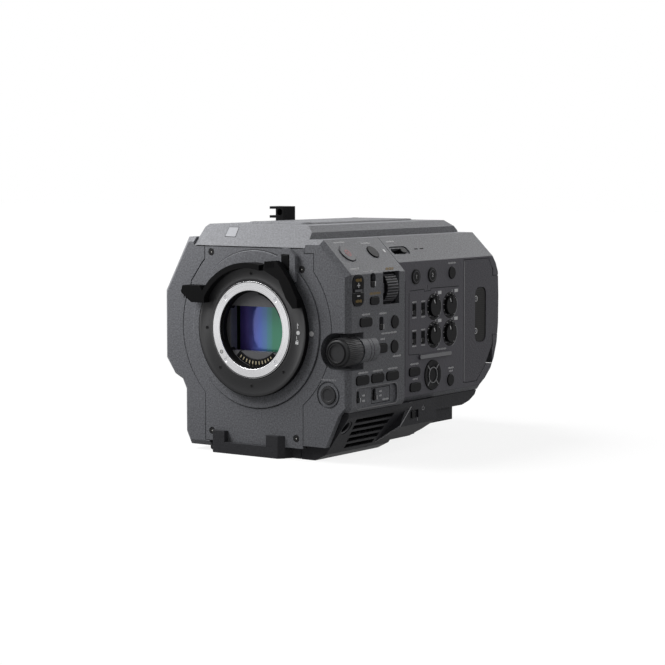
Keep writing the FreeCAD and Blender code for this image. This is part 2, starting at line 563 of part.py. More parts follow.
def make_control_side_cover():
    """Cover of the control side in front of the audio panel."""
    shell = side_outline("control_outer", "0", "side_x", "front_y", "seam_y")
    soften(shell, lambda middle, way: middle.y < shell.Shape.BoundBox.YMin + 1
           and middle.x > DRIVING["panel_right"] + 4, "edge_chamfer", "Chamfer")
    skirt = prism("control_skirt", "y", [
        ("panel_right - 2", "panel_bottom + 2"), ("flank_x + 3", "panel_bottom + 2"),
        ("flank_top_x - 4.5", "sill_z - 2"), ("side_x - 2", "sill_z + 4"), ("panel_right - 2", "sill_z + 4"),
    ], "front_y", "front_y + wall + 1")
    hollow = side_outline("control_inner", "wall", "side_x", "front_y + wall + 1", "seam_y + 1")
    collar = rod("dial_collar", "y", "dial_radius", "dial_back + 0.2", "well_back + collar_length",
                 ("dial_x", "dial_z"))
    rim = "dial_well + wall - 1"
    well_wall = prism("dial_well_mass", "y", [
        (f"dial_well_x - ({rim})", f"dial_z - ({rim})"), ("side_x - 1", f"dial_z - ({rim})"),
        ("side_x - 1", f"dial_z + {rim}"), (f"dial_well_x - ({rim})", f"dial_z + {rim}"),
    ], "front_y + panel_thick + seam", "well_back + wall")
    mount_room = rod("dial_mount_room", "y", "boss_outer + seam", "front_y", "boss_back + seam",
                     ("0", "axis_height"))
    well_wall = cut("dial_well_wall", well_wall, mount_room)
    panel = panel_outline("control_panel_seat", "seam", "front_y - 1", "front_y + wall * 2")
    faced = cut("control_shell", fuse("control_mass", shell, skirt), hollow, panel)
    whole = fuse("control_whole", faced, well_wall)
    roof = box("control_roof_seat", ("0", "roof_bend_x + 1 + seam"), ("front_y - 1", "seam_y + 1"),
               ("brow_z", "roof_z"))
    well = fuse(
        "dial_well_space",
        rod("dial_well_round", "y", "dial_well", "front_y - 1", "well_back", ("dial_well_x", "dial_z")),
        box("dial_well_side", ("dial_well_x", "side_x + 5"), ("front_y - 1", "well_back"),
            ("dial_z - dial_well", "dial_z + dial_well")))
    shaft = rod("dial_shaft_hole", "y", "shaft_radius + run_gap", "dial_back - 1",
                "well_back + collar_length - 2", ("dial_x", "dial_z"))
    white_set = rod("white_set_hole", "y", "white_set_radius + button_gap", "front_y - 1",
                    "front_y + wall + 3", ("white_set_x", "white_set_z"))
    groove_out = rod("white_set_groove_out", "y", "white_set_ring", "front_y - 1", "front_y + 0.8",
                     ("white_set_x", "white_set_z"))
    groove_in = rod("white_set_groove_in", "y", "white_set_ring - 1", "front_y - 2", "front_y + 2",
                    ("white_set_x", "white_set_z"))
    bezel = pill("bezel_recess", "x", "side_x - bezel_deep", "side_x + 1",
                 ("front_y + bezel_y", "bezel_z"), "bezel_width", "bezel_tall")
    wheel = box("wheel_pocket", ("wheel_x - wheel_radius - 1", "side_x + 3"),
                ("front_y + wheel_y - wheel_pocket_y / 2", "front_y + wheel_y + wheel_pocket_y / 2"),
                ("wheel_z - wheel_pocket_z / 2", "wheel_z + wheel_pocket_z / 2"))
    ears = [box(f"wheel_ear_{side}", ("wheel_x - 3", "side_x - 1"),
                (f"front_y + wheel_y + ({low})", f"front_y + wheel_y + ({high})"),
                ("wheel_z - 3", "wheel_z + 3"))
            for side, low, high in (("front", "-wheel_pocket_y / 2", "-wheel_width / 2 - run_gap"),
                                    ("back", "wheel_width / 2 + run_gap", "wheel_pocket_y / 2"))]
    pin = rod("wheel_axle", "y", "wheel_pin", "front_y + wheel_y - wheel_width / 2 - 1",
              "front_y + wheel_y + wheel_width / 2 + 1", ("wheel_x", "wheel_z"))
    slope = [
        slope_rod("record_hole", "record_radius + button_gap", "-wall - 2", "1", "front_y + record_y"),
        slope_rod("review_hole", "review_radius + button_gap", "-wall - 2", "1", "front_y + review_y"),
    ]
    holes = switch_holes("hole", SIDE_BUTTONS, "side_x", "wall + 1")
    holes += switch_holes("hole", SIDE_SWITCHES, "side_x", "wall + 1")
    holes += switch_holes("hole", ROCKER, "side_x", "wall + 1")
    drilled = cut("control_drilled", whole, roof, well, shaft, white_set,
                  cut("white_set_groove", groove_out, groove_in), bezel, wheel, *slope, *holes)
    sleeve = cut("dial_sleeve", collar, shaft)
    rocker_pin = rod("rocker_pin", "y", "rocker_pin_radius", "front_y + nd_rocker_back - nd_rocker_wide / 2 - 1",
                     "front_y + nd_rocker_back + nd_rocker_wide / 2 + 1", ("rocker_x", "nd_rocker_up"))
    return keep("control_side_cover", fuse("control_body", drilled, sleeve, *ears, pin, rocker_pin))


def rear_outline(name, back):
    """Side view of the audio side: bulged at the rear and cut away below."""
    corners = [
        ("seam_y - 30", "sill_z - 12"), (f"{back} - 24", "sill_z - 12"), (f"{back} - 24", "sill_z + 3"),
        (f"{back} - 17", "sill_z + 7"), (f"{back} - 10", "grip_hip_z"), (f"{back} - 5.6", "grip_waist_z - 6"),
        (f"{back} - 2", "hinge_low - 5"), (f"{back} - 0.2", "hinge_low + 8"), (back, "hinge_high - 14"),
        (f"{back} - 0.8", "hinge_high + 2"), (f"{back} - 3.8", "hinge_high + 8"),
        (f"{back} - 8", "audio_top_z"),
        (f"{back} - 9", "roof_z"), ("seam_y - 30", "roof_z"),
    ]
    return prism(name, "x", corners, "panel_right - 3", "side_x + 2")


def door_outline(name, grow, low, high):
    """Media door form, seen from the side, grown by an amount on every side."""
    rear = "front_y + cover_depth"
    corners = [
        (f"door_y - {grow}", f"door_low - {grow}"), (f"{rear} - 20 + {grow} / 2", f"door_low - {grow}"),
        (f"{rear} - 9 + {grow}", f"door_low + 10 - {grow}"), (f"{rear} + {grow}", f"door_low + 23"),
        (f"{rear} + {grow}", f"door_high - 8"), (f"{rear} - 5 + {grow}", f"door_high + {grow}"),
        (f"door_y - {grow}", f"door_high + {grow}"),
    ]
    return prism(name, "x", corners, low, high)


def make_audio_side_cover():
    """Cover of the audio panel, the button slope behind it and the door's frame."""
    mass = side_outline("audio_mass", "0", "audio_x", "seam_y + seam", "rear_y")
    outer = common("audio_outer", mass, rear_outline("audio_side_view", "rear_y"))
    hollow = common("audio_hollow",
                    side_outline("audio_inner", "wall", "door_face", "seam_y - 1", "rear_y + 1"),
                    rear_outline("audio_inner_view", "rear_y + 10"))
    roof = box("audio_roof_seat", ("0", "roof_bend_x + 1 + seam"), ("seam_y - 1", "rear_y + 1"),
               ("brow_z", "roof_z"))
    door = door_outline("door_frame", "seam", "door_face - 0.3", "audio_x + 1")
    reader = box("reader_opening", ("audio_x - wall - door_thick - 2", "audio_x"),
                 ("front_y + reader_front - 1", "front_y + reader_front + reader_length + 1"),
                 ("reader_low - 1", "reader_low + reader_tall + 1"))
    hinge = rod("hinge_seat", "z", "knuckle_radius * 1.55 + seam", "hinge_low", "hinge_high",
                ("hinge_x", "hinge_y"))
    swing = box("hinge_swing", ("hinge_x - knuckle_radius - seam", "audio_x + 1"),
                ("front_y + cover_depth - 7", "rear_y + 1"), ("hinge_low", "hinge_high"))
    relief = box("hinge_relief", ("door_face - 0.3", "audio_x + 1"),
                 ("front_y + cover_depth - 4", "front_y + cover_depth + hinge_clear"),
                 ("hinge_low - 8", "hinge_high + 5"))
    pin = rod("hinge_pin", "z", "door_pin", "hinge_low - 1", "hinge_high + 1", ("hinge_x", "hinge_y"))
    ridge = pill("audio_ridge", "x", "audio_x - 1", "audio_x + ridge_rise",
                 ("front_y + ridge_y", "ridge_z"), "ridge_width", "ridge_tall")
    holes = switch_holes("hole", AUDIO_BUTTONS, "audio_x", "wall + door_thick + 1")
    holes += switch_holes("hole", AUDIO_SWITCHES, "audio_x", "wall + door_thick + 1")
    pins = []
    for name in AUDIO_DIALS:
        centre = (f"front_y + {name}_back", f"{name}_up")
        holes.append(rod(f"well_{name}", "x", "audio_well", "audio_x - audio_well_deep", "audio_x + 1", centre))
        pins.append(rod(f"pin_{name}", "x", "audio_pin", "audio_x - audio_well_deep - 1",
                        "audio_x + audio_dial_rise - 1", centre))
    centre = ("front_y + pad_y", "pad_z")
    holes.append(rod("pad_hole", "x", "pad_outer + button_gap", "audio_x - 4.2", "audio_x + 1", centre))
    holes.append(slope_block("hold_slot", "hold_width - 4", "hold_tall - 2.6", "-wall - 4", "1",
                             "front_y + hold_y"))
    holes.append(slope_block("hold_recess", "hold_width", "hold_tall", "-0.8", "1", "front_y + hold_y"))
    drilled = cut("audio_drilled", outer, hollow, roof, door, reader, hinge, swing,
                  relief, *holes)
    pad_pin = rod("pad_pin", "x", "pad_inner - 1.6", "audio_x - 5", "audio_x - 2.7", centre)
    return keep("audio_side_cover", fuse("audio_body", drilled, pin, ridge, pad_pin, *pins))


def make_side_buttons(table, face):
    """Push buttons of a side wall: a cap and a retaining lip behind the wall."""
    for name, sizes in table.items():
        centre = (f"front_y + {name}_back", f"{name}_up")
        inner = f"{face} - wall" if face == "side_x" else f"{face} - wall - door_thick"
        cap = side_form(name + "_cap", name, sizes, (f"{inner} - run_gap - 0.1", f"{face} + button_rise"),
                        "0", centre)
        lip = side_form(name + "_lip", name, sizes,
                        (f"{inner} - run_gap - lip_thick", f"{inner} - run_gap"), "button_lip", centre)
        keep(name, fuse(name + "_body", cap, lip))


def make_side_switches(table, face):
    """Slide switches: a knob in its slot and a plate behind the wall."""
    for name, sizes in table.items():
        back = f"front_y + {name}_back"
        inner = f"{face} - wall" if face == "side_x" else f"{face} - wall - door_thick"
        proud = "0.2" if name not in ("gain_switch", "white_switch") else "-0.5"
        knob = box(name + "_knob", (f"{inner} - 0.3", f"{face} + {proud}"),
                   (f"{back} - {name}_wide / 2 + 0.3", f"{back} + {name}_wide / 2 - 0.3"),
                   (f"{name}_up - {name}_tall * 0.45", f"{name}_up - {name}_tall * 0.05"))
        plate = box(name + "_plate", (f"{inner} - run_gap - lip_thick", f"{inner} - run_gap"),
                    (f"{back} - {name}_wide / 2 - button_lip", f"{back} + {name}_wide / 2 + button_lip"),
                    (f"{name}_up - {name}_tall * 0.45", f"{name}_up - {name}_tall * 0.05"))
        keep(name, fuse(name + "_body", knob, plate))


def make_rocker():
    """Two-ended filter key that tips about its middle."""
    centre = ("front_y + nd_rocker_back", "nd_rocker_up")
    key = pill("rocker_key", "x", "side_x - wall - 0.4", "side_x + 0.5", centre, "nd_rocker_wide",
               "nd_rocker_tall")
    bore = rod("rocker_bore", "y", "rocker_pin_radius + 0.05", "front_y", "front_y + 2 * nd_rocker_back",
               ("rocker_x", "nd_rocker_up"))
    dip = rod("rocker_dip", "y", "2.2", "front_y", "front_y + nd_rocker_back + 8",
              ("side_x + 2", "nd_rocker_up"))
    keep("nd_rocker", cut("rocker_body", key, dip, bore))


def make_wheel():
    """Ribbed thumb wheel on a fixed axle."""
    middle = "front_y + wheel_y"
    rim = rod("wheel_rim", "y", "wheel_radius", f"{middle} - wheel_width / 2", f"{middle} + wheel_width / 2",
              ("wheel_x", "wheel_z"))
    bore = rod("wheel_bore", "y", "wheel_pin + 0.05", f"{middle} - wheel_width", f"{middle} + wheel_width",
               ("wheel_x", "wheel_z"))
    grooves = []
    for number in range(24):
        angle = 15 * number
        groove = rod(f"wheel_groove_{number}", "y", "0.7", f"{middle} - wheel_width", f"{middle} + wheel_width",
                     (f"wheel_x + wheel_radius * cos({angle})", f"wheel_z + wheel_radius * sin({angle})"))
        grooves.append(groove)
    keep("nd_wheel", cut("wheel_body", rim, bore, *grooves))


def make_slope_buttons():
    """Record button, review button and the record lock switch."""
    for name, radius, along in (("record_button", "record_radius", "record_y"),
                                ("review_button", "review_radius", "review_y")):
        cap = slope_rod(name + "_cap", radius, "-wall - run_gap - 0.1", "button_rise", f"front_y + {along}")
        lip = slope_rod(name + "_lip", f"{radius} + button_lip", "-wall - run_gap - lip_thick",
                        "-wall - run_gap", f"front_y + {along}")
        keep(name, fuse(name + "_body", cap, lip))
    knob = slope_block("hold_knob", "5.6", "hold_tall - 3.2", "-wall - 0.4", "0.3", "front_y + hold_y + 4.2")
    plate = slope_block("hold_plate", "5.6", "hold_tall - 1", "-wall - run_gap - lip_thick",
                        "-wall - run_gap", "front_y + hold_y + 4.2")
    keep("hold_switch", fuse("hold_body", knob, plate))


def make_audio_dials():
    """Level dials, each on a pin of the cover, with a finger slot across the face."""
    for name in AUDIO_DIALS:
        centre = (f"front_y + {name}_back", f"{name}_up")
        disc = rod(f"disc_{name}", "x", "audio_dial_radius", "audio_x - audio_well_deep + 0.1",
                   "audio_x + audio_dial_rise", centre)
        bore = rod(f"bore_{name}", "x", "audio_pin + 0.05", "audio_x - audio_well_deep - 1",
                   "audio_x + audio_dial_rise - 0.9", centre)
        slot = box(f"slot_{name}", ("audio_x + audio_dial_rise - 0.6", "audio_x + audio_dial_rise + 1"),
                   (f"{centre[0]} - 0.6", f"{centre[0]} + 0.6"),
                   (f"{centre[1]} + 1.4", f"{centre[1]} + audio_dial_radius + 1"))
        keep(name, cut(f"body_{name}", disc, bore, slot))


def make_pad():
    """Four-way ring and its centre button."""
    centre = ("front_y + pad_y", "pad_z")
    ring = rod("pad_rim", "x", "pad_outer", "audio_x - 3.4", "audio_x + 0.6", centre)
    hole = rod("pad_middle", "x", "pad_inner + button_gap", "audio_x - 4", "audio_x + 2", centre)
    dish = taper("pad_dish", "x", "pad_inner", "pad_outer - 0.6", "audio_x - 0.4", "audio_x + 0.8", centre)
    keep("pad_ring", cut("pad_body", ring, hole, dish))
    keep("pad_centre", rod("pad_button", "x", "pad_inner", "audio_x - 2", "audio_x + 0.2", centre))


def make_function_dial():
    """Knob on a shaft that presses into the cover."""
    centre = ("dial_x", "dial_z")
    skirt = taper("dial_skirt", "y", "dial_face_radius", "dial_radius", "dial_front + 1",
                  "dial_front + dial_length * 0.7", centre)
    rim = rod("dial_rim", "y", "dial_radius", "dial_front + dial_length * 0.7",
              "dial_back - dial_press - 0.3", centre)
    nose = taper("dial_nose", "y", "dial_face_radius - 1", "dial_face_radius", "dial_front",
                 "dial_front + 1", centre)
    dish = rod("dial_dish", "y", "dial_face_radius - 2.4", "dial_front - 1", "dial_front + 0.8", centre)
    bore = rod("dial_bore", "y", "shaft_radius + 0.05", "dial_front + 8", "dial_back", centre)
    ribs = [rod(f"dial_rib_{number}", "y", "0.45", "dial_front + 1.6", "dial_back",
                (f"dial_x + (dial_radius + 0.1) * cos({15 * number})",
                 f"dial_z + (dial_radius + 0.1) * sin({15 * number})"))
            for number in range(24)]
    keep("function_dial", cut("dial_body", fuse("dial_mass", skirt, rim, nose), dish, bore, *ribs))
    keep("dial_shaft", rod("dial_shaft_rod", "y", "shaft_radius", "dial_front + 8.2",
                           "well_back + collar_length - 2 - dial_press - 0.3", centre))


def make_white_set_button():
    """Round button on the front of the control side."""
    centre = ("white_set_x", "white_set_z")
    back = "front_y + wall + 1 + run_gap"
    cap = rod("white_set_cap", "y", "white_set_radius", "front_y - button_rise", f"{back} + 0.1", centre)
    dish = rod("white_set_dish", "y", "white_set_radius - 1.6", "front_y - 2", "front_y - button_rise + 0.4",
               centre)
    lip = rod("white_set_lip", "y", "white_set_radius + button_lip", back, f"{back} + lip_thick", centre)
    keep("white_set_button", fuse("white_set_body", cut("white_set_top", cap, dish), lip))


def make_lens_mount():
    """Mount base, bayonet ring, lock ring with its two wings, and its catch."""
    axis = ("0", "axis_height")
    base = rod("boss_disc", "y", "boss_outer", "boss_front", "boss_back", axis)
    hollow = rod("boss_bore", "y", "ring_throat + 0.7", "boss_front - 1", "boss_back + 1", axis)
    seat = rod("boss_seat", "y", "ring_outer + run_gap", "boss_front - 1", "flange_y + ring_depth", axis)
    keep("mount_base_ring", cut("boss_body", base, hollow, seat))
    ring = rod("bayonet_disc", "y", "ring_outer", "flange_y", "flange_y + ring_depth", axis)
    throat = rod("bayonet_throat", "y", "ring_throat", "flange_y - 1", "flange_y + ring_depth + 1", axis)
    heads = []
    for number in range(4):
        angle = f"45 + 90 * {number}"
        heads.append(rod(f"bayonet_screw_seat_{number}", "y", "1.5", "flange_y - 1", "flange_y + 1",
                         (f"ring_screw_circle * cos({angle})",
                          f"axis_height + ring_screw_circle * sin({angle})")))
    keep("lens_mount_ring", cut("bayonet_body", ring, throat, *heads))
    lock = rod("lock_disc", "y", "lock_outer", "flange_y + lock_front", "lock_back", axis)
    front = "flange_y - wing_front"
    wing = prism("lock_wing", "y", [
        ("-ring_outer - 3", "axis_height + wing_low"), ("-wing_reach + 8.2", "axis_height + wing_low"),
        ("-wing_reach", "axis_height + wing_low + 6"), ("-wing_reach + 1.2", "axis_height + wing_high"),
        ("-lock_outer + 5", "axis_height + wing_high"), ("-ring_outer - 3", "axis_height + wing_low + 5"),
    ], front, "lock_back")
    soften(wing, lambda middle, way: abs(way.y) > 0.9 and middle.x < -DRIVING["lock_outer"] - 0.5, "1.6")
    hood = prism("lock_hood", "y", [
        ("hood_left", "axis_height + hood_top - 5"), ("hood_left + 1.5", "axis_height + hood_top"),
        ("hood_left + 9", "axis_height + hood_top + 0.6"), ("hood_left + 13", "axis_height + hood_top - 2.4"),
        ("hood_tip_x - 5.6", "axis_height + hood_tip_z + 16.6"), ("hood_tip_x", "axis_height + hood_tip_z + 6"),
        ("hood_tip_x + 0.4", "axis_height + hood_tip_z + 0.6"), ("hood_tip_x - 3", "axis_height + hood_tip_z"),
        ("hood_tip_x - 8", "axis_height + hood_tip_z + 6"), ("hood_left + 12", "axis_height + hood_tip_z + 17"),
    ], f"{front} + 0.4", "flange_y + hood_back")
    rim_out = rod("lock_rim_out", "y", "lock_outer", front, "lock_back", axis)
    rim_in = rod("lock_rim_in", "y", "lock_outer - rim_width", f"{front} - 1", "lock_back + 1", axis)
    rim_low = box("lock_rim_low", ("-lock_outer - 1", "lock_outer + 1"), (f"{front} - 1", "lock_back + 1"),
                  ("axis_height - lock_outer - 1", "axis_height + wing_low"))
    rim_right = box("lock_rim_right", ("rim_end", "lock_outer + 1"), (f"{front} - 1", "lock_back + 1"),
                    ("axis_height - lock_outer - 1", "axis_height + lock_outer + 1"))
    rim = cut("lock_rim", rim_out, rim_in, rim_low, rim_right)
    bore = rod("lock_bore", "y", "ring_outer + 0.08", f"{front} - 1", "lock_back + 1", axis)
    room = rod("lock_disc_room", "y", "lock_outer + piece_gap", "flange_y + lock_front - piece_gap",
               "lock_back + 1", axis)
    levers = cut("lock_levers", fuse("lock_lever_mass", wing, rim), room, bore)
    keep("lock_ring", group("lock_set", cut("lock_plain", lock, bore), levers, hood))
    catch = box("catch_block", ("catch_x - catch_width / 2", "catch_x + catch_width / 2"),
                ("front_y - catch_boss_rise - 0.2", "boss_front - button_gap"),
                ("catch_z - catch_tall / 2", "catch_z + catch_tall / 2"))
    keep("lock_catch", catch)


def make_light_path():
    """Baffle with its contact strip, sensor glass and the boards behind."""
    axis = ("0", "axis_height")
    tube = rod("baffle_tube", "y", "ring_throat + 0.5", "flange_y + ring_depth + 0.1", "boss_back", axis)
    gate = box("baffle_gate", ("-gate_width / 2", "gate_width / 2"), ("flange_y - 1", "boss_back + 1"),
               ("axis_height - gate_tall / 2", "axis_height + gate_tall / 2"))
    strip = box("contact_strip", ("-contact_width / 2", "contact_width / 2"),
                ("flange_y + ring_depth + 0.4", "flange_y + ring_depth + 3.4"),
                ("axis_height - contact_drop", "axis_height - contact_drop + 3.4"))
    keep("light_baffle", fuse("baffle_body", cut("baffle_hollow", tube, gate), strip))
    keep("sensor_glass", box("glass_plate", ("-glass_width / 2", "glass_width / 2"),
                             ("glass_front", "package_front"),
                             ("axis_height - glass_tall / 2", "axis_height + glass_tall / 2")))
    package = box("sensor_package", ("-glass_width / 2 - 1", "glass_width / 2 + 1"),
                  ("package_front", "board_front"),
                  ("axis_height - glass_tall / 2 - 1", "axis_height + glass_tall / 2 + 1"))
    sensor_board = box("sensor_board", ("-30", "30"), ("board_front", "board_front + board_thick"),
                       ("axis_height - 23", "axis_height + 23"))
    main_board = box("main_board", ("-frame_left + frame_plate + 1", "frame_right - 4"),
                     ("sink_y - board_thick - 1", "sink_y - 1"), ("frame_low + 6", "frame_high - 6"))
    spacers = [rod(f"board_spacer_{number}", "y", "2", "board_front + board_thick", "sink_y - board_thick - 1",
                   (f"{side} * 26", f"axis_height + {level} * 19"))
               for number, (side, level) in enumerate(((-1, -1), (1, -1), (-1, 1), (1, 1)))]
    keep("circuit_boards", fuse("board_stack", package, sensor_board, main_board, *spacers))


def make_chassis():
    """Inner frame: bulkhead, tray, grip-side plate, rear frame and the rosette's boss."""
    across = ("-frame_left", "frame_right")
    along = ("bulkhead_back + piece_gap", "front_y + frame_length - frame_plate - piece_gap")
    bulkhead = box("bulkhead", across, ("boss_back", "bulkhead_back"), ("frame_low", "frame_high"))
    window = box("bulkhead_window", ("-glass_width / 2 - 2", "glass_width / 2 + 2"),
                 ("boss_back - 1", "bulkhead_back + 1"),
                 ("axis_height - glass_tall / 2 - 2", "axis_height + glass_tall / 2 + 2"))
    tray = box("tray", across, along, ("frame_low", "frame_low + frame_plate"))
    plate = box("side_plate", ("-frame_left", "-frame_left + frame_plate"), along,
                ("frame_low + frame_plate + piece_gap", "frame_high"))
    rear = box("rear_frame", across, ("front_y + frame_length - frame_plate", "front_y + frame_length"),
               ("frame_low", "frame_high"))
    rear_window = box("rear_window", ("-20", "20"), ("front_y + 50", "rear_y"), ("30", "105"))
    rail = box("upper_rail", ("frame_right - 6", "frame_right"), along, ("frame_high - 6", "frame_high"))
    posts = [rod(f"sensor_post_{number}", "y", "2.4", "bulkhead_back", "board_front",
                 (f"{side} * 27", f"axis_height + {level} * 20"))
             for number, (side, level) in enumerate(((-1, -1), (1, -1), (-1, 1), (1, 1)))]
    boss = rod("rosette_boss", "x", "rosette_radius", "-grip_x - rosette_stand", "-frame_left",
               ("front_y + rosette_y", "rosette_z"))
    thread = rod("rosette_thread", "x", "rosette_bolt", "-grip_x - rosette_stand - 1", "-grip_x + 10",
                 ("front_y + rosette_y", "rosette_z"))
    feet = [box(f"tray_foot_{number}", (f"{side} * 30 - 4", f"{side} * 30 + 2"),
                (f"front_y + {back}", f"front_y + {back} + 8"), ("base_top", "frame_low"))
            for number, (side, back) in enumerate(((-1, 20), (1, 20), (-1, 120), (1, 120)))]
    shanks = screw_rods("frame_shank", "front_y", "bulkhead_back + 1", "screw_shank + run_gap")
    keep("chassis", group(
        "frame_set", cut("bulkhead_open", fuse("bulkhead_mass", bulkhead, *posts), window, *shanks),
        fuse("tray_mass", tray, *feet), cut("side_plate_open", fuse("side_plate_mass", plate, boss), thread),
        cut("rear_open", rear, rear_window), rail))


def make_cooling():
    """Finned heat sink with the fan's shroud, and the impeller."""
    slab = box("sink_slab", ("-sink_left", "sink_right"), ("sink_y - 1", "sink_y + 4"),
               ("sink_low", "sink_high"))
    pitch = "(sink_left + sink_right - fin_thick) / (fin_count - 1)"
    fins = [box(f"sink_fin_{number}", (f"-sink_left + {number} * {pitch}",
                                       f"-sink_left + {number} * {pitch} + fin_thick"),
                ("sink_y + 3", "fan_y"), ("sink_low", "sink_high"))
            for number in range(DRIVING["fin_count"])]
    middle = ("(sink_right - sink_left) / 2", "(sink_low + sink_high) / 2")
    shroud = box("fan_shroud", ("-sink_left", "sink_right"), ("fan_y - 1", "fan_y + fan_thick + 3"),
                 ("sink_low", "sink_high"))
    bore = rod("fan_bore", "y", "fan_radius + 1", "fan_y + 1.6", "fan_y + fan_thick + 4", middle)
    inlet_out = rod("fan_inlet_out", "y", "fan_radius", "fan_y - 2", "fan_y + 2", middle)
    inlet_in = rod("fan_inlet_in", "y", "fan_hub", "fan_y - 3", "fan_y + 3", middle)
    spokes = [box(f"fan_spoke_{number}", spoke_x, ("fan_y - 1", "fan_y + 1.6"), spoke_z)
              for number, (spoke_x, spoke_z) in enumerate((
                  (("-sink_left", "sink_right"), (f"{middle[1]} - 1.5", f"{middle[1]} + 1.5")),
                  ((f"{middle[0]} - 1.5", f"{middle[0]} + 1.5"), ("sink_low", "sink_high"))))]
    pin = rod("fan_axle", "y", "fan_pin", "fan_y", "fan_y + fan_thick", middle)
    open_shroud = cut("shroud_open", shroud, bore, cut("fan_inlet", inlet_out, inlet_in))
    feet = box("sink_foot", ("-sink_left", "sink_right"), ("sink_y + 10", "sink_y + 14"),
               ("frame_low + frame_plate", "sink_low + 1"))
    keep("heat_sink", fuse("sink_body", slab, *fins, open_shroud, *spokes, pin, feet))
    hub = rod("impeller_hub", "y", "fan_hub - 0.4", "fan_y + 2.2", "fan_y + fan_thick + 1", middle)
    blades = []
    for number in range(DRIVING["blade_count"]):
        blade = doc.addObject("Part::Box", f"impeller_blade_{number}")
        degrees = 360 / DRIVING["blade_count"] * number
        turn = FreeCAD.Rotation(FreeCAD.Vector(0, 1, 0), degrees)
        lean = FreeCAD.Rotation(FreeCAD.Vector(1, 0, 0), 35)
        blade.Placement = FreeCAD.Placement(FreeCAD.Vector(), turn * lean)
        bind(blade, {"Length": "fan_radius - fan_hub + 1.8", "Width": "fan_thick - 4", "Height": "blade_thick",
                     "Placement.Base.x": (f"{middle[0]} + (fan_hub - 2.4) * cos({degrees})"
                                          f" - blade_lead * sin({degrees})"),
                     "Placement.Base.y": "fan_y + 3.4",
                     "Placement.Base.z": (f"{middle[1]} - (fan_hub - 2.4) * sin({degrees})"
                                          f" - blade_lead * cos({degrees})")})
        blades.append(blade)
    bore = rod("impeller_bore", "y", "fan_pin + 0.06", "fan_y", "fan_y + fan_thick + 0.2", middle)
    keep("fan_impeller", cut("impeller_body", fuse("impeller_mass", hub, *blades), bore))


def make_card_reader():
    """Card cage behind the media door, with two slots."""
    cage = box("reader_cage", ("reader_inner", "door_face - wall - 0.6"),
               ("front_y + reader_front", "front_y + reader_front + reader_length"),
               ("reader_low", "reader_low + reader_tall"))
    slots = [box(f"reader_slot_{number}", ("door_face - wall - slot_deep", "audio_x"),
                 ("front_y + reader_front + slot_end", "front_y + reader_front + slot_end + slot_length"),
                 (f"reader_low + {low}", f"reader_low + {low} + slot_tall"))
             for number, low in ((1, 14), (2, 40))]
    arm = box("reader_arm", ("frame_right - 5", "reader_inner + 1"),
              ("front_y + reader_front + slot_end", "front_y + frame_length - frame_plate"),
              ("reader_low", "reader_low + 8"))
    keep("card_reader", fuse("reader_body", cut("reader_open", cage, *slots), arm))


def make_media_door():
    """Door over the card reader, with its window recess and its knuckle."""
    plate = door_outline("door_plate", "0", "door_face", "audio_x")
    window = pill("door_window", "x", "audio_x - window_deep", "audio_x + 1",
                  ("front_y + window_y", "window_z"), "window_width", "window_tall")
    reach = box("door_reach", ("hinge_x - knuckle_radius + 0.6", "hinge_x + knuckle_radius"),
                ("front_y + cover_depth - 6", "rear_y"), ("hinge_low + seam", "hinge_high - seam"))
    arm = common("door_arm", reach, rear_outline("door_arm_view", "rear_y"))
    knuckle = rod("door_knuckle", "z", "knuckle_radius", "hinge_low + seam", "hinge_high - seam",
                  ("hinge_x", "hinge_y"))
    bore = rod("door_bore", "z", "door_pin + 0.06", "0", "roof_z", ("hinge_x", "hinge_y"))
    keep("media_door", cut("door_body", fuse("door_mass", plate, knuckle, arm), window, bore))


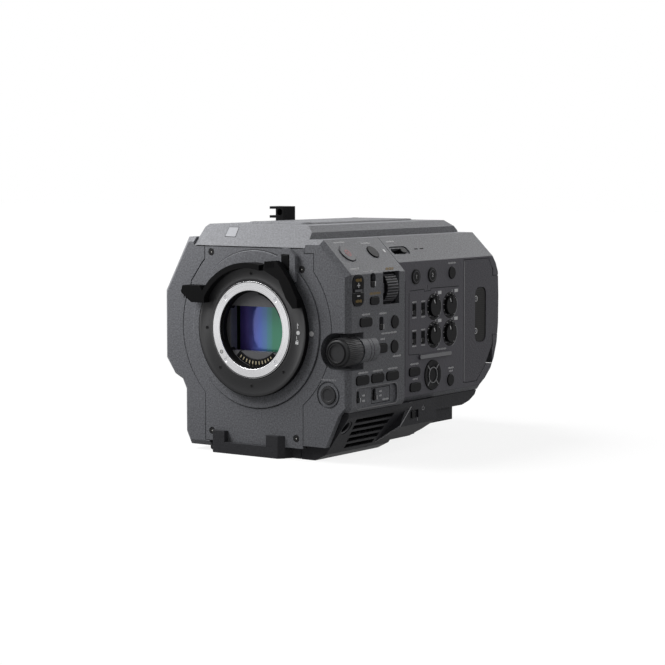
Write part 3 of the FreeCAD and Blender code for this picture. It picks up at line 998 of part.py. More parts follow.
def make_base():
    """Black floor with the lens shoe, the vented flank, the power block and the tail."""
    floor = prism("base_floor", "z", [
        ("-base_left + 8", "base_front"), ("shoe_right + 12", "base_front"), ("base_right", "base_front + 15"),
        ("base_right", "base_front + 68"), ("base_right - 9", "base_front + 82"),
        ("base_right - 11", "base_back"), ("-base_left + 8", "base_back"),
        ("-base_left", "base_back - 12"), ("-base_left", "base_front + 12"),
    ], "0", "base_top")
    soften(floor, lambda middle, way: middle.z < 0.1 and abs(way.z) < 0.1, "1", "Chamfer")
    shoe = prism("base_shoe", "z", [
        ("-shoe_left", "front_y + shoe_front"), ("shoe_right", "front_y + shoe_front"),
        ("shoe_right + 6", "base_front + 2"), ("-shoe_left - 6", "base_front + 2"),
    ], "0", "base_top - 1")
    ears = [prism(f"shoe_ear_{side}", "z", corners, "0", "shoe_ear") for side, corners in (
        ("left", [("-shoe_left", "front_y + shoe_front"), ("-shoe_left + shoe_ear_width", "front_y + shoe_front"),
                  ("-shoe_left + shoe_ear_width", "front_y - 0.1"), ("-shoe_left - 3", "front_y - 0.1")]),
        ("right", [("shoe_right - shoe_ear_width", "front_y + shoe_front"), ("shoe_right", "front_y + shoe_front"),
                   ("shoe_right + 3", "front_y - 0.1"), ("shoe_right - shoe_ear_width", "front_y - 0.1")]))]
    flank = prism("base_flank", "y", [
        ("base_right - 6", "0"), ("base_right + 4", "0"), ("flank_x", "flank_z"), ("flank_top_x", "sill_z - 3"),
        ("flank_top_x", "sill_z - seam"), ("base_right - 6", "sill_z - seam"),
    ], "front_y + flank_front", "seam_y + 12")
    power = prism("power_block", "y", [
        ("base_right - 6", "0.8"), ("base_right + 2", "2.9"), ("flank_x + 1", "flank_z + 1.8"),
        ("power_block_x", "power_block_z"), ("power_block_x", "sill_z - seam"), ("base_right - 6", "sill_z - seam"),
    ], "seam_y - 12", "front_y + power_block_end")
    bevel = prism("power_bevel", "x", [
        ("seam_y - 14", "-1"), ("seam_y - 10", "-1"), ("seam_y + 11", "sill_z"), ("seam_y - 14", "sill_z"),
    ], "base_right - 8", "power_block_x + 1")
    rear_bevel = prism("power_rear_bevel", "x", [
        ("front_y + power_block_end - 13", "-1"), ("front_y + power_block_end + 2", "-1"),
        ("front_y + power_block_end + 2", "power_block_z + 6"), ("front_y + power_block_end - 1", "power_block_z"),
        ("front_y + power_block_end - 4", "power_block_z - 6"),
        ("front_y + power_block_end - 8", "power_block_z - 9"),
    ], "base_right - 7", "power_block_x + 1")
    power = cut("power_shaped", power, bevel, rear_bevel)
    step = prism("base_step", "x", [
        ("front_y + power_block_end - 3", "step_z"), ("front_y + step_end - 9", "step_z"),
        ("front_y + step_end - 3.4", "step_z + 2"), ("front_y + step_end - 0.4", "step_z + 6.6"),
        ("front_y + step_end", "sill_z - seam"), ("front_y + power_block_end - 3", "sill_z - seam"),
    ], "base_right - 6", "power_block_x - 6")
    tail = prism("base_tail", "x", [
        ("front_y + power_block_end - 1", "tail_z"), ("front_y + tail_end - 18", "tail_z"),
        ("front_y + tail_end - 9", "tail_z + 2"), ("front_y + tail_end - 2", "tail_z + 5.4"),
        ("front_y + tail_end", "sill_z - seam"), ("front_y + power_block_end - 1", "sill_z - seam"),
    ], "base_right - 6", "power_block_x - 3")
    shelf = box("base_shelf", ("base_right - 6", "power_block_x - 22"),
                ("front_y + tail_end - 4", "cover_y - 0.5"), ("tail_z - 2.5", "sill_z - seam"))
    heel = prism("base_heel", "x", [
        ("base_back - 14", "0.6"), ("base_back - 2", "0.6"), ("cover_y - 14", "heel_z"),
        ("cover_y - 0.5", "heel_z"), ("cover_y - 0.5", "frame_low - 0.1"), ("cover_y - 0.5", "sill_z - seam"),
        ("front_y + frame_length + 0.4", "sill_z - seam"), ("base_back - 14", "sill_z - seam"),
    ], "-base_left", "frame_right + 3")
    rise = prism("heel_rise", "y", [("5", "-1"), ("5", "0"), ("frame_right + 4", "7.7"), ("frame_right + 4", "-1")],
                 "base_back - 7.3", "cover_y")
    end_rise = prism("heel_end_rise", "y", [
        ("-frame_right", "-1"), ("-frame_right", "0"), ("frame_right + 4", "base_top + 8.9"),
        ("frame_right + 4", "-1"),
    ], "front_y + frame_length + seam * 1.5", "cover_y")
    lip = box("heel_lip", ("base_right - 10", "frame_right + 4"), ("base_back - 15", "cover_y"),
              ("-1", "base_top - 1.2"))
    keel = box("base_keel", ("-base_left + 6", "frame_right + 3"), ("base_front + 70", "base_back - 4"),
               ("base_top - 1", "sill_z - seam"))
    keel_hollow = box("keel_hollow", ("-frame_left - 1", "frame_right + 1"),
                      ("base_front", "front_y + frame_length + seam"), ("base_top", "sill_z + 1"))
    keel_left = box("keel_left", ("-grip_x", "-frame_left - 0.9"), ("base_front", "cover_y"),
                    ("base_top", "sill_z + 1"))
    flank_hollow = prism("flank_hollow", "y", [
        ("frame_right + 1", "base_top"), ("flank_x - wall", "base_top"), ("flank_top_x - wall - 2", "sill_z - 4"),
        ("frame_right + 1", "sill_z - 4"),
    ], "front_y + flank_front + wall", "seam_y - wall - 6")
    louvers = []
    for number in range(DRIVING["louver_count"]):
        level = f"flank_z + 2.4 + {number} * (sill_z - flank_z - 6) / louver_count"
        below = f"(louver_count - {number})"
        start = f"front_y + louver_start + {below} * 1.4"
        louvers.append(box(f"louver_{number}", ("flank_x - 8", "side_x"),
                           (start, f"{start} + louver_length - {below} * 2.6"),
                           (level, f"{level} + louver_tall")))
    port = rod("strap_port", "x", "strap_port_radius", "flank_x + 2", "side_x",
               ("front_y + flank_front + strap_port_y", "strap_port_z"))
    threads = [rod("tripod_thread", "z", "thread_radius", "-1", "thread_deep", ("0", "0")),
               rod("tripod_thread_big", "z", "big_thread_radius", "-1", "thread_deep", ("0", "big_thread_y"))]
    slot = box("power_slot", ("power_block_x - 1.6", "power_block_x + 1"),
               ("front_y + power_y - power_slot / 2", "front_y + power_y + power_slot / 2"),
               ("power_z - power_tall / 2", "power_z + power_tall / 2"))
    hole = box("power_hole", ("power_block_x - 5", "power_block_x"),
               ("front_y + power_y - power_slot / 2 + 1.4", "front_y + power_y + power_slot / 2 - 1.4"),
               ("power_z - 1.2", "power_z + 1.2"))
    mass = fuse("base_mass", floor, shoe, *ears, flank, power, step, tail, shelf, heel, keel)
    keep("base_plate", cut("base_body", mass, rise, end_rise, lip, keel_hollow, keel_left, flank_hollow, *louvers, port,
                           *threads, slot, hole))
    knob = box("power_knob", ("power_block_x - 1.5", "power_block_x + 0.8"),
               ("front_y + power_y - 4.2", "front_y + power_y - 0.4"),
               ("power_z - power_tall / 2 + 0.3", "power_z + power_tall / 2 - 0.3"))
    stem = box("power_stem", ("power_block_x - 4", "power_block_x - 1"),
               ("front_y + power_y - 2.8", "front_y + power_y - 1.2"), ("power_z - 0.9", "power_z + 0.9"))
    keep("power_switch", fuse("power_body", knob, stem))


def make_rear():
    """Rear cover with the battery bay, its latch button and the signal plugs."""
    plate = prism("rear_plate_outer", "y", [
        ("-grip_foot_x", "sill_z - 20"), ("panel_right + 18", "sill_z + 6"), ("audio_x - 8", "grip_waist_z"),
        ("audio_x - 8", "audio_top_z - 4"), ("shoulder_x - 2", "shoulder_z - 2"),
        ("-grip_slant_x", "shoulder_z - 2"), ("-grip_x + 3", "grip_upper_z"), ("-grip_x + 3", "grip_waist_z"),
        ("-grip_foot_x", "grip_foot_top"),
    ], "cover_y + seam", "rear_y")
    soften(plate, lambda middle, way: middle.y > plate.Shape.BoundBox.YMax - 1,
           "edge_chamfer * 0.8", "Chamfer")
    block = box("bay_block", ("-bay_left", "bay_right"), ("rear_y - 1", "bay_back"), ("bay_low", "bay_high"))
    bay = box("bay_space", ("-battery_gap_left", "battery_gap_right"), ("bay_back - battery_deep", "bay_back + 1"),
              ("bay_low + 5", "bay_high + 1"))
    pins = [box(f"battery_pin_{number}", (f"-17 + {number} * 5", f"-15 + {number} * 5"),
                ("bay_back - 16", "bay_back - 8"), ("bay_low + 4.5", "bay_low + 8")) for number in range(4)]
    latch_hole = rod("latch_hole", "y", "latch_radius + button_gap", "cover_y", "rear_y + 1", ("latch_x", "latch_z"))
    plug_holes = [rod(f"plug_hole_{number}", "y", "plug_radius - 1", "cover_y - 1", "rear_y + 1",
                      ("plug_x", f"plug_low + {number} * plug_pitch"))
                  for number in range(DRIVING["plug_count"])]
    keep("rear_cover", cut("rear_body", fuse("rear_mass", plate, cut("bay_body", block, bay), *pins),
                           latch_hole, *plug_holes))
    inside = "cover_y + seam - run_gap"
    cap = rod("latch_cap", "y", "latch_radius", f"{inside} - 0.1", "rear_y + 1.2", ("latch_x", "latch_z"))
    lip = rod("latch_lip", "y", "latch_radius + 1", f"{inside} - lip_thick", inside, ("latch_x", "latch_z"))
    keep("battery_latch", fuse("latch_body", cap, lip))
    plugs = []
    for number in range(DRIVING["plug_count"]):
        centre = ("plug_x", f"plug_low + {number} * plug_pitch")
        barrel = rod(f"plug_barrel_{number}", "y", "plug_radius - 1.2", "cover_y", "rear_y + plug_length",
                     centre)
        flange = rod(f"plug_flange_{number}", "y", "plug_radius", "rear_y + 0.05", "rear_y + 1.5", centre)
        bore = rod(f"plug_bore_{number}", "y", "plug_radius - 2.4", "rear_y + 2", "rear_y + plug_length + 1", centre)
        pin = rod(f"plug_pin_{number}", "y", "0.8", "rear_y + 1.5", "rear_y + plug_length - 2", centre)
        plugs.append(fuse(f"plug_{number}", cut(f"plug_shell_{number}", fuse(f"plug_mass_{number}", barrel, flange),
                                                bore), pin))
    keep("rear_connectors", group("plug_row", *plugs))


def make_small_parts():
    """Cable clip on the deck and the front panel's screws."""
    low, high = "roof_z + 0.02", "roof_z + clip_tall"
    y_start = "front_y + clip_y"
    sides = ("clip_x - clip_wide / 2", "clip_x + clip_wide / 2")
    block = box("clip_block", sides, (y_start, f"{y_start} + clip_long"), (low, high))
    hole = rod("clip_screw", "y", "clip_wide / 2 - 1.2", f"{y_start} - 1", f"{y_start} + 3",
               ("clip_x", f"{high} - fork_tall / 2"))
    prongs = [box(f"clip_prong_{number}", (f"{sides[0]} - prong_long", "clip_x"),
                  (f"{y_start} + 1", f"{y_start} + clip_long"), (f"{high} - {drop}", f"{high} - {drop} + prong_thick"))
              for number, drop in ((1, "prong_thick"), (2, "fork_tall"))]
    peg = rod("clip_peg", "z", "1.8", "roof_z - wall + 0.4", f"{low} + 1", ("clip_x", f"{y_start} + clip_long / 2"))
    keep("cable_clip", fuse("clip_body", cut("clip_drilled", block, hole), *prongs, peg))
    heads = screw_rods("screw_head", "front_y + 0.2", "front_y + screw_head_thick - 0.02", "screw_head")
    shanks = screw_rods("screw_shank", "front_y + 1", "front_y + 1 + screw_length", "screw_shank")
    keep("panel_screws", group("screw_set", *[fuse(f"screw_{number}", head, shank)
                                              for number, (head, shank) in enumerate(zip(heads, shanks))]))


def check_and_write():
    """Stop on any failed object, then write each sub-part to its own file."""
    doc.recompute()
    failed = [thing.Name for thing in doc.Objects if {"Invalid", "Error"} & set(thing.State)]
    if failed:
        raise RuntimeError("these objects failed: " + ", ".join(failed))
    os.makedirs("parts", exist_ok=True)
    for thing in KEPT:
        shape = thing.Shape
        if shape.isNull() or not shape.isValid() or not shape.Solids:
            raise RuntimeError(f"{thing.Label} has no sound solid")
        shape.exportStep(f"parts/{thing.Label}.step")
        print(f"{thing.Label}: {len(shape.Solids)} solid(s), {shape.Volume:.0f} cubic mm")


fill_sheet()
make_front_panel()
make_top_cover()
make_grip_side_cover()
make_control_side_cover()
make_audio_side_cover()
make_side_buttons(SIDE_BUTTONS, "side_x")
make_side_buttons(AUDIO_BUTTONS, "audio_x")
make_side_switches(SIDE_SWITCHES, "side_x")
make_side_switches(AUDIO_SWITCHES, "audio_x")
make_rocker()
make_wheel()
make_slope_buttons()
make_audio_dials()
make_pad()
make_function_dial()
make_white_set_button()
make_lens_mount()
make_light_path()
make_chassis()
make_cooling()
make_card_reader()
make_media_door()
make_base()
make_rear()
make_small_parts()
check_and_write()
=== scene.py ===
"""Looks of a box-shaped cinema camera body: painted magnesium covers, a steel bayonet, black keys.

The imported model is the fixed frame. X runs to the control side, Y from the lens mount to the
battery bay, Z up. Class fields are millimetres unless they say otherwise; meshes are metres.
"""

import json
import logging
import math
from dataclasses import dataclass, field
from enum import Enum
from typing import Any, Iterable, Sequence

import bmesh
import bpy
from mathutils import Matrix, Vector

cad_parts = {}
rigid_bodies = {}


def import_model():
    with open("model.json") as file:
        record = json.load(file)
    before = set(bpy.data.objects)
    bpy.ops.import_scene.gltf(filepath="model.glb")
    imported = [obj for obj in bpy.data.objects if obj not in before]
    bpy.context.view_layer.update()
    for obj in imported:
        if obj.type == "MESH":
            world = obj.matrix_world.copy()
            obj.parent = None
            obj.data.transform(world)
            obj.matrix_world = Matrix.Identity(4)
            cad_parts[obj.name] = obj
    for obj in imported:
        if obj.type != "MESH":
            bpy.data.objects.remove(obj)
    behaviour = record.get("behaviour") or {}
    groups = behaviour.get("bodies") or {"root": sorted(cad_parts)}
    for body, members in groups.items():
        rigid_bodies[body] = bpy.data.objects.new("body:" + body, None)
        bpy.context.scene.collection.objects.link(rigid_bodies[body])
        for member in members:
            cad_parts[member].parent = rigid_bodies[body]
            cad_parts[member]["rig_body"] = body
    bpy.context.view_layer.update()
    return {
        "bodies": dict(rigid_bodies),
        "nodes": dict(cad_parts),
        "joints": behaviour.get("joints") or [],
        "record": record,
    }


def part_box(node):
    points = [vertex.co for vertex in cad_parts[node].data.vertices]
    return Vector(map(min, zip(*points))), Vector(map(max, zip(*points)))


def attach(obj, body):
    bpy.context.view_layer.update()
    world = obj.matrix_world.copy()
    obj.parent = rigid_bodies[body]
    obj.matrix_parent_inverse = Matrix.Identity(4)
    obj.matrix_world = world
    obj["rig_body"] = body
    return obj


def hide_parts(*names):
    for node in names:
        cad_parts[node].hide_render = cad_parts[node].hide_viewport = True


MM = 0.001
SLOPE = math.sqrt(0.5)
FRONT_Y = -55.0
AXIS_Z = 78.5
CONTROL_X = 70
AUDIO_X = 65
HEX = 6
# Angles in degrees between neighbouring faces.
SMOOTH_BELOW = 35.0
FLAT_BELOW = 0.5
BEVEL_ABOVE = 30.0
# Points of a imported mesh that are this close, in metres, are one.
WELD = 1e-6
# Back of a printed mark, just under the face that carries it.
SUNK = -0.05
# Distance between the ticks that stand for words.
TICK_PITCH = 1.05
FLAT = Matrix.Identity(4)
Point = tuple[float, float]
Triple = tuple[float, float, float]
LOG = logging.getLogger("camera")


def linear(colour: str) -> tuple[float, float, float, float]:
    """Turn an sRGB hex colour into linear light.

    Args:
        colour: Six hex digits after a hash.

    Returns:
        Red, green, blue and an alpha of one.
    """
    parts = [int(colour[place:place + 2], 16) / 255 for place in (1, 3, 5)]
    light = [part / 12.92 if part <= 0.04045 else ((part + 0.055) / 1.055) ** 2.4 for part in parts]
    return (*light, 1.0)


def link(name: str, data: bpy.types.ID) -> bpy.types.Object:
    """Make an object of a mesh, lamp, curve or camera and put it in the scene.

    Args:
        name: Its name.
        data: What it shows.

    Returns:
        The new object.
    """
    holder = bpy.data.objects.new(name, data)
    bpy.context.scene.collection.objects.link(holder)
    return holder


def evaluated(holder: bpy.types.Object) -> bpy.types.Mesh:
    """Turn an object with its modifiers into a plain mesh, and remove the object.

    Args:
        holder: Object in the scene.

    Returns:
        The new mesh.
    """
    bpy.context.view_layer.update()
    graph = bpy.context.evaluated_depsgraph_get()
    result = bpy.data.meshes.new_from_object(holder.evaluated_get(graph))
    bpy.data.objects.remove(holder)
    return result


def bevelled(mesh: bpy.types.Mesh, edge: float) -> bpy.types.Mesh:
    """Bevel the sharp edges of a mesh.

    Args:
        mesh: The mesh.
        edge: Width of the bevel in millimetres.

    Returns:
        A new mesh.
    """
    holder = link("bevel_work", mesh)
    bevel = holder.modifiers.new("edges", "BEVEL")
    bevel.width = edge * MM
    bevel.segments = 2
    bevel.limit_method = "ANGLE"
    bevel.angle_limit = math.radians(BEVEL_ABOVE)
    bevel.use_clamp_overlap = True
    holder.modifiers.new("normals", "WEIGHTED_NORMAL").keep_sharp = True
    return evaluated(holder)


def box(node: str) -> tuple[Vector, Vector]:
    """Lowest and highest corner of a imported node, in millimetres."""
    low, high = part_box(node)
    return Vector(low) / MM, Vector(high) / MM


def empty_tree(owner: bpy.types.ID) -> bpy.types.NodeTree:
    """Give a material or world a node tree with nothing in it.

    Args:
        owner: The material or world.

    Returns:
        Its tree.
    """
    owner.use_nodes = True
    owner.node_tree.nodes.clear()
    return owner.node_tree


def add_node(tree: bpy.types.NodeTree, kind: str, settings: dict[str, Any] | None = None,
             inputs: dict[Any, Any] | None = None) -> bpy.types.Node:
    """Add a node with its settings and its links.

    Args:
        tree: Tree that takes the node.
        kind: Blender's name of the node type.
        settings: Properties of the node.
        inputs: Values or output sockets by input name or number.

    Returns:
        The new node.
    """
    fresh = tree.nodes.new(kind)
    for key, value in (settings or {}).items():
        setattr(fresh, key, value)
    for key, value in (inputs or {}).items():
        if isinstance(value, bpy.types.NodeSocket):
            tree.links.new(value, fresh.inputs[key])
        else:
            fresh.inputs[key].default_value = value
    return fresh


@dataclass
class Recipe:
    """A material in the making: its tree, its surface shader and the place in millimetres."""

    tree: bpy.types.NodeTree
    shader: bpy.types.Node
    spot: bpy.types.NodeSocket

    def drive(self, name: str, source: bpy.types.NodeSocket) -> None:
        """Link an output to an input of the surface shader."""
        self.tree.links.new(source, self.shader.inputs[name])

    def ramp(self, factor: bpy.types.NodeSocket, stops: Sequence[tuple[float, Sequence[float]]]) -> None:
        """Colour the surface by a factor.

        Args:
            factor: Output that drives the ramp.
            stops: Positions with their colours, in order.
        """
        node = add_node(self.tree, "ShaderNodeValToRGB", inputs={"Fac": factor})
        bar = node.color_ramp
        for number, (position, colour) in enumerate(stops):
            stop = bar.elements[number] if number < 2 else bar.elements.new(position)
            stop.position = position
            stop.color = colour
        self.drive("Base Color", node.outputs["Color"])

    def sheen(self, factor: bpy.types.NodeSocket, low: float, high: float) -> None:
        """Spread the roughness by a factor.

        Args:
            factor: Output that drives it.
            low: Roughness where the factor is zero.
            high: Roughness where it is one.
        """
        spread = add_node(self.tree, "ShaderNodeMapRange",
                          inputs={"Value": factor, "To Min": low, "To Max": high})
        self.drive("Roughness", spread.outputs["Result"])

    def relief(self, *layers: tuple[bpy.types.NodeSocket, float, float]) -> None:
        """Raise the surface by one height over the other.

        Args:
            layers: Height, strength and depth in millimetres of each, the lowest first.
        """
        below = {}
        for height, strength, depth in layers:
            bump = add_node(self.tree, "ShaderNodeBump",
                            inputs={"Height": height, "Strength": strength, "Distance": depth * MM,
                                    **below})
            below = {"Normal": bump.outputs["Normal"]}
        self.drive("Normal", below["Normal"])


@dataclass(frozen=True)
class Finish:
    """A surface finish and what every one of them needs."""

    name: str
    colour: str
    slot: str
    roughness: float = 0.5
    metallic: float = 0.0
    grain: float = 0.9
    grain_depth: float = 0.03
    fleck: float = 0.08
    gloss: float = 0.5

    def build(self) -> bpy.types.Material:
        """Make the material.

        Returns:
            A procedural material on Object coordinates.
        """
        material = bpy.data.materials.new(self.name)
        tree = empty_tree(material)
        shader = add_node(tree, "ShaderNodeBsdfPrincipled",
                          inputs={"Roughness": self.roughness, "Metallic": self.metallic,
                                  "Specular IOR Level": self.gloss})
        add_node(tree, "ShaderNodeOutputMaterial", inputs={"Surface": shader.outputs["BSDF"]})
        place = add_node(tree, "ShaderNodeTexCoord").outputs["Object"]
        spot = add_node(tree, "ShaderNodeMapping", inputs={"Vector": place, "Scale": (1000, 1000, 1000)})
        self.dress(Recipe(tree, shader, spot.outputs["Vector"]))
        return material

    def shades(self) -> tuple[tuple[float, ...], tuple[float, ...]]:
        """Give the colour a little darker and a little lighter, for flecks.

        Returns:
            The darker and the lighter colour.
        """
        middle = linear(self.colour)
        low = tuple(part * (1 - self.fleck) for part in middle[:3])
        high = tuple(min(1.0, part * (1 + self.fleck)) for part in middle[:3])
        return (*low, 1.0), (*high, 1.0)

    def dress(self, work: Recipe) -> None:
        """Add the colour and relief of a fine even grain.

        Args:
            work: The material in the making.
        """
        # The grain of mouldings and castings is about 0.1 mm; it is drawn at 0.5 to 2 mm so that it shows.
        noise = add_node(work.tree, "ShaderNodeTexNoise",
                         inputs={"Vector": work.spot, "Scale": 1 / self.grain, "Detail": 3.0,
                                 "Roughness": 0.6}).outputs["Fac"]
        low, high = self.shades()
        work.ramp(noise, ((0.3, low), (0.7, high)))
        work.relief((noise, 1.0, self.grain_depth))


@dataclass(frozen=True)
class PebbledPaint(Finish):
    """Baked paint with a pebbled texture on a magnesium casting: even, dull, lightly sparkling."""

    grain: float = 1.0
    fleck: float = 0.34
    grain_depth: float = 0.06
    gloss: float = 0.22
    pebble: float = 1.1
    side_from: float = 1e6
    side_colour: str = "#56555b"

    def dress(self, work: Recipe) -> None:
        """Add pebbles, their flecks and, past side_from on X, the darker side coat.

        Args:
            work: The material in the making.
        """
        # Real pebbles are about 0.3 mm and their flecks finer; both are drawn at 1 mm so that they show.
        cells = add_node(work.tree, "ShaderNodeTexVoronoi", {"feature": "SMOOTH_F1"},
                         {"Vector": work.spot, "Scale": 1 / self.pebble, "Smoothness": 0.6})
        noise = add_node(work.tree, "ShaderNodeTexNoise",
                         inputs={"Vector": work.spot, "Scale": 1 / self.grain, "Detail": 4.0,
                                 "Roughness": 0.7}).outputs["Fac"]
        cloud = add_node(work.tree, "ShaderNodeTexNoise",
                         inputs={"Vector": work.spot, "Scale": 0.02, "Detail": 2.0})
        low, high = self.shades()
        spread = add_node(work.tree, "ShaderNodeMapRange",
                          inputs={"Value": noise, "From Min": 0.35, "From Max": 0.65})
        paint = add_node(work.tree, "ShaderNodeMix", {"data_type": "RGBA"},
                         {"Factor": spread.outputs["Result"], 6: low, 7: high})
        side = add_node(work.tree, "ShaderNodeMix", {"data_type": "RGBA"},
                        {"Factor": self.beyond(work), 6: paint.outputs[2], 7: linear(self.side_colour)})
        tone = add_node(work.tree, "ShaderNodeMapRange",
                        inputs={"Value": cloud.outputs["Fac"], "From Min": 0.3, "From Max": 0.7,
                                "To Min": 0.96, "To Max": 1.04})
        tinted = add_node(work.tree, "ShaderNodeHueSaturation",
                          inputs={"Color": side.outputs[2], "Value": tone.outputs["Result"]})
        work.drive("Base Color", tinted.outputs["Color"])
        work.sheen(noise, self.roughness - 0.08, self.roughness + 0.08)
        work.relief((noise, 0.7, self.grain_depth), (cells.outputs["Distance"], 0.8, self.grain_depth * 2))

    def beyond(self, work: Recipe) -> bpy.types.NodeSocket:
        """Give one where X lies past side_from, else zero.

        Args:
            work: The material in the making.

        Returns:
            Socket of the one or zero.
        """
        parts = add_node(work.tree, "ShaderNodeSeparateXYZ", inputs={"Vector": work.spot})
        return add_node(work.tree, "ShaderNodeMath", {"operation": "GREATER_THAN"},
                        {0: parts.outputs["X"], 1: self.side_from}).outputs["Value"]


@dataclass(frozen=True)
class TurnedMetal(Finish):
    """Steel or aluminium faced on a lathe: fine rings about the lens axis that streak the light."""

    axis_height: float = AXIS_Z
    groove: float = 0.45
    streak: float = 0.75

    def dress(self, work: Recipe) -> None:
        """Add rings about the lens axis to colour, roughness and relief.

        Args:
            work: The material in the making.
        """
        centred = add_node(work.tree, "ShaderNodeMapping",
                           inputs={"Vector": work.spot, "Location": (0, 0, -self.axis_height),
                                   "Scale": (1, 0, 1)}).outputs["Vector"]
        away = add_node(work.tree, "ShaderNodeVectorMath", {"operation": "LENGTH"}, {0: centred})
        along = add_node(work.tree, "ShaderNodeVectorMath", {"operation": "CROSS_PRODUCT"},
                         {0: centred, 1: (0, 1, 0)})
        work.drive("Tangent", along.outputs["Vector"])
        work.shader.inputs["Anisotropic"].default_value = self.streak
        # Real tool marks are about 0.1 mm apart; they are drawn at 0.45 mm so that they show.
        rings = add_node(work.tree, "ShaderNodeTexNoise", {"noise_dimensions": "1D"},
                         {"W": away.outputs["Value"], "Scale": 1 / self.groove,
                          "Detail": 3.0}).outputs["Fac"]
        low, high = self.shades()
        work.ramp(rings, ((0.3, low), (0.7, high)))
        work.sheen(rings, self.roughness - 0.06, self.roughness + 0.1)
        work.relief((rings, 0.6, self.grain_depth))


@dataclass(frozen=True)
class CoatedGlass(Finish):
    """Filter glass over the sensor: thin-film coats turn from violet through blue to green across it."""

    half_width: float = 20.0
    film: tuple[tuple[float, str], ...] = (
        (0.0, "#5a4a9a"), (0.16, "#8272d8"), (0.42, "#6c88ee"),
        (0.52, "#6696cc"), (0.61, "#5ca0ab"), (0.7, "#509d7e"))

    def dress(self, work: Recipe) -> None:
        """Run the film colours along X with soft upright streaks.

        Args:
            work: The material in the making.
        """
        parts = add_node(work.tree, "ShaderNodeSeparateXYZ", inputs={"Vector": work.spot})
        streak = add_node(work.tree, "ShaderNodeTexNoise", {"noise_dimensions": "1D"},
                          {"W": parts.outputs["X"], "Scale": 0.35, "Detail": 2.0})
        across = add_node(work.tree, "ShaderNodeMapRange",
                          inputs={"Value": parts.outputs["X"], "From Min": -self.half_width,
                                  "From Max": self.half_width})
        bent = add_node(work.tree, "ShaderNodeMath", {"operation": "MULTIPLY_ADD"},
                        {0: streak.outputs["Fac"], 1: 0.12, 2: across.outputs["Result"]})
        work.ramp(bent.outputs["Value"], [(place, linear(colour)) for place, colour in self.film])
        work.shader.inputs["Coat Weight"].default_value = 0.5
        work.shader.inputs["Coat Roughness"].default_value = 0.06


@dataclass(frozen=True)
class TintedWindow(Finish):
    """Smoked acrylic over the card slots: near black, polished, with faint level lines behind it."""

    line_pitch: float = 1.4

    def dress(self, work: Recipe) -> None:
        """Add the faint level lines of the card cage that show through.

        Args:
            work: The material in the making.
        """
        lines = add_node(work.tree, "ShaderNodeTexWave", {"bands_direction": "Z"},
                         {"Vector": work.spot, "Scale": 1 / (self.line_pitch * math.pi), "Distortion": 0.4})
        low, high = self.shades()
        work.ramp(lines.outputs["Fac"], ((0.2, low), (0.9, high)))
        work.shader.inputs["Coat Weight"].default_value = 0.05
        work.shader.inputs["Coat Roughness"].default_value = 0.1


@dataclass(frozen=True)
class Ink(Finish):
    """Screen-printed epoxy ink: thin, level and dull."""

    roughness: float = 0.6
    grain: float = 0.8
    grain_depth: float = 0.004


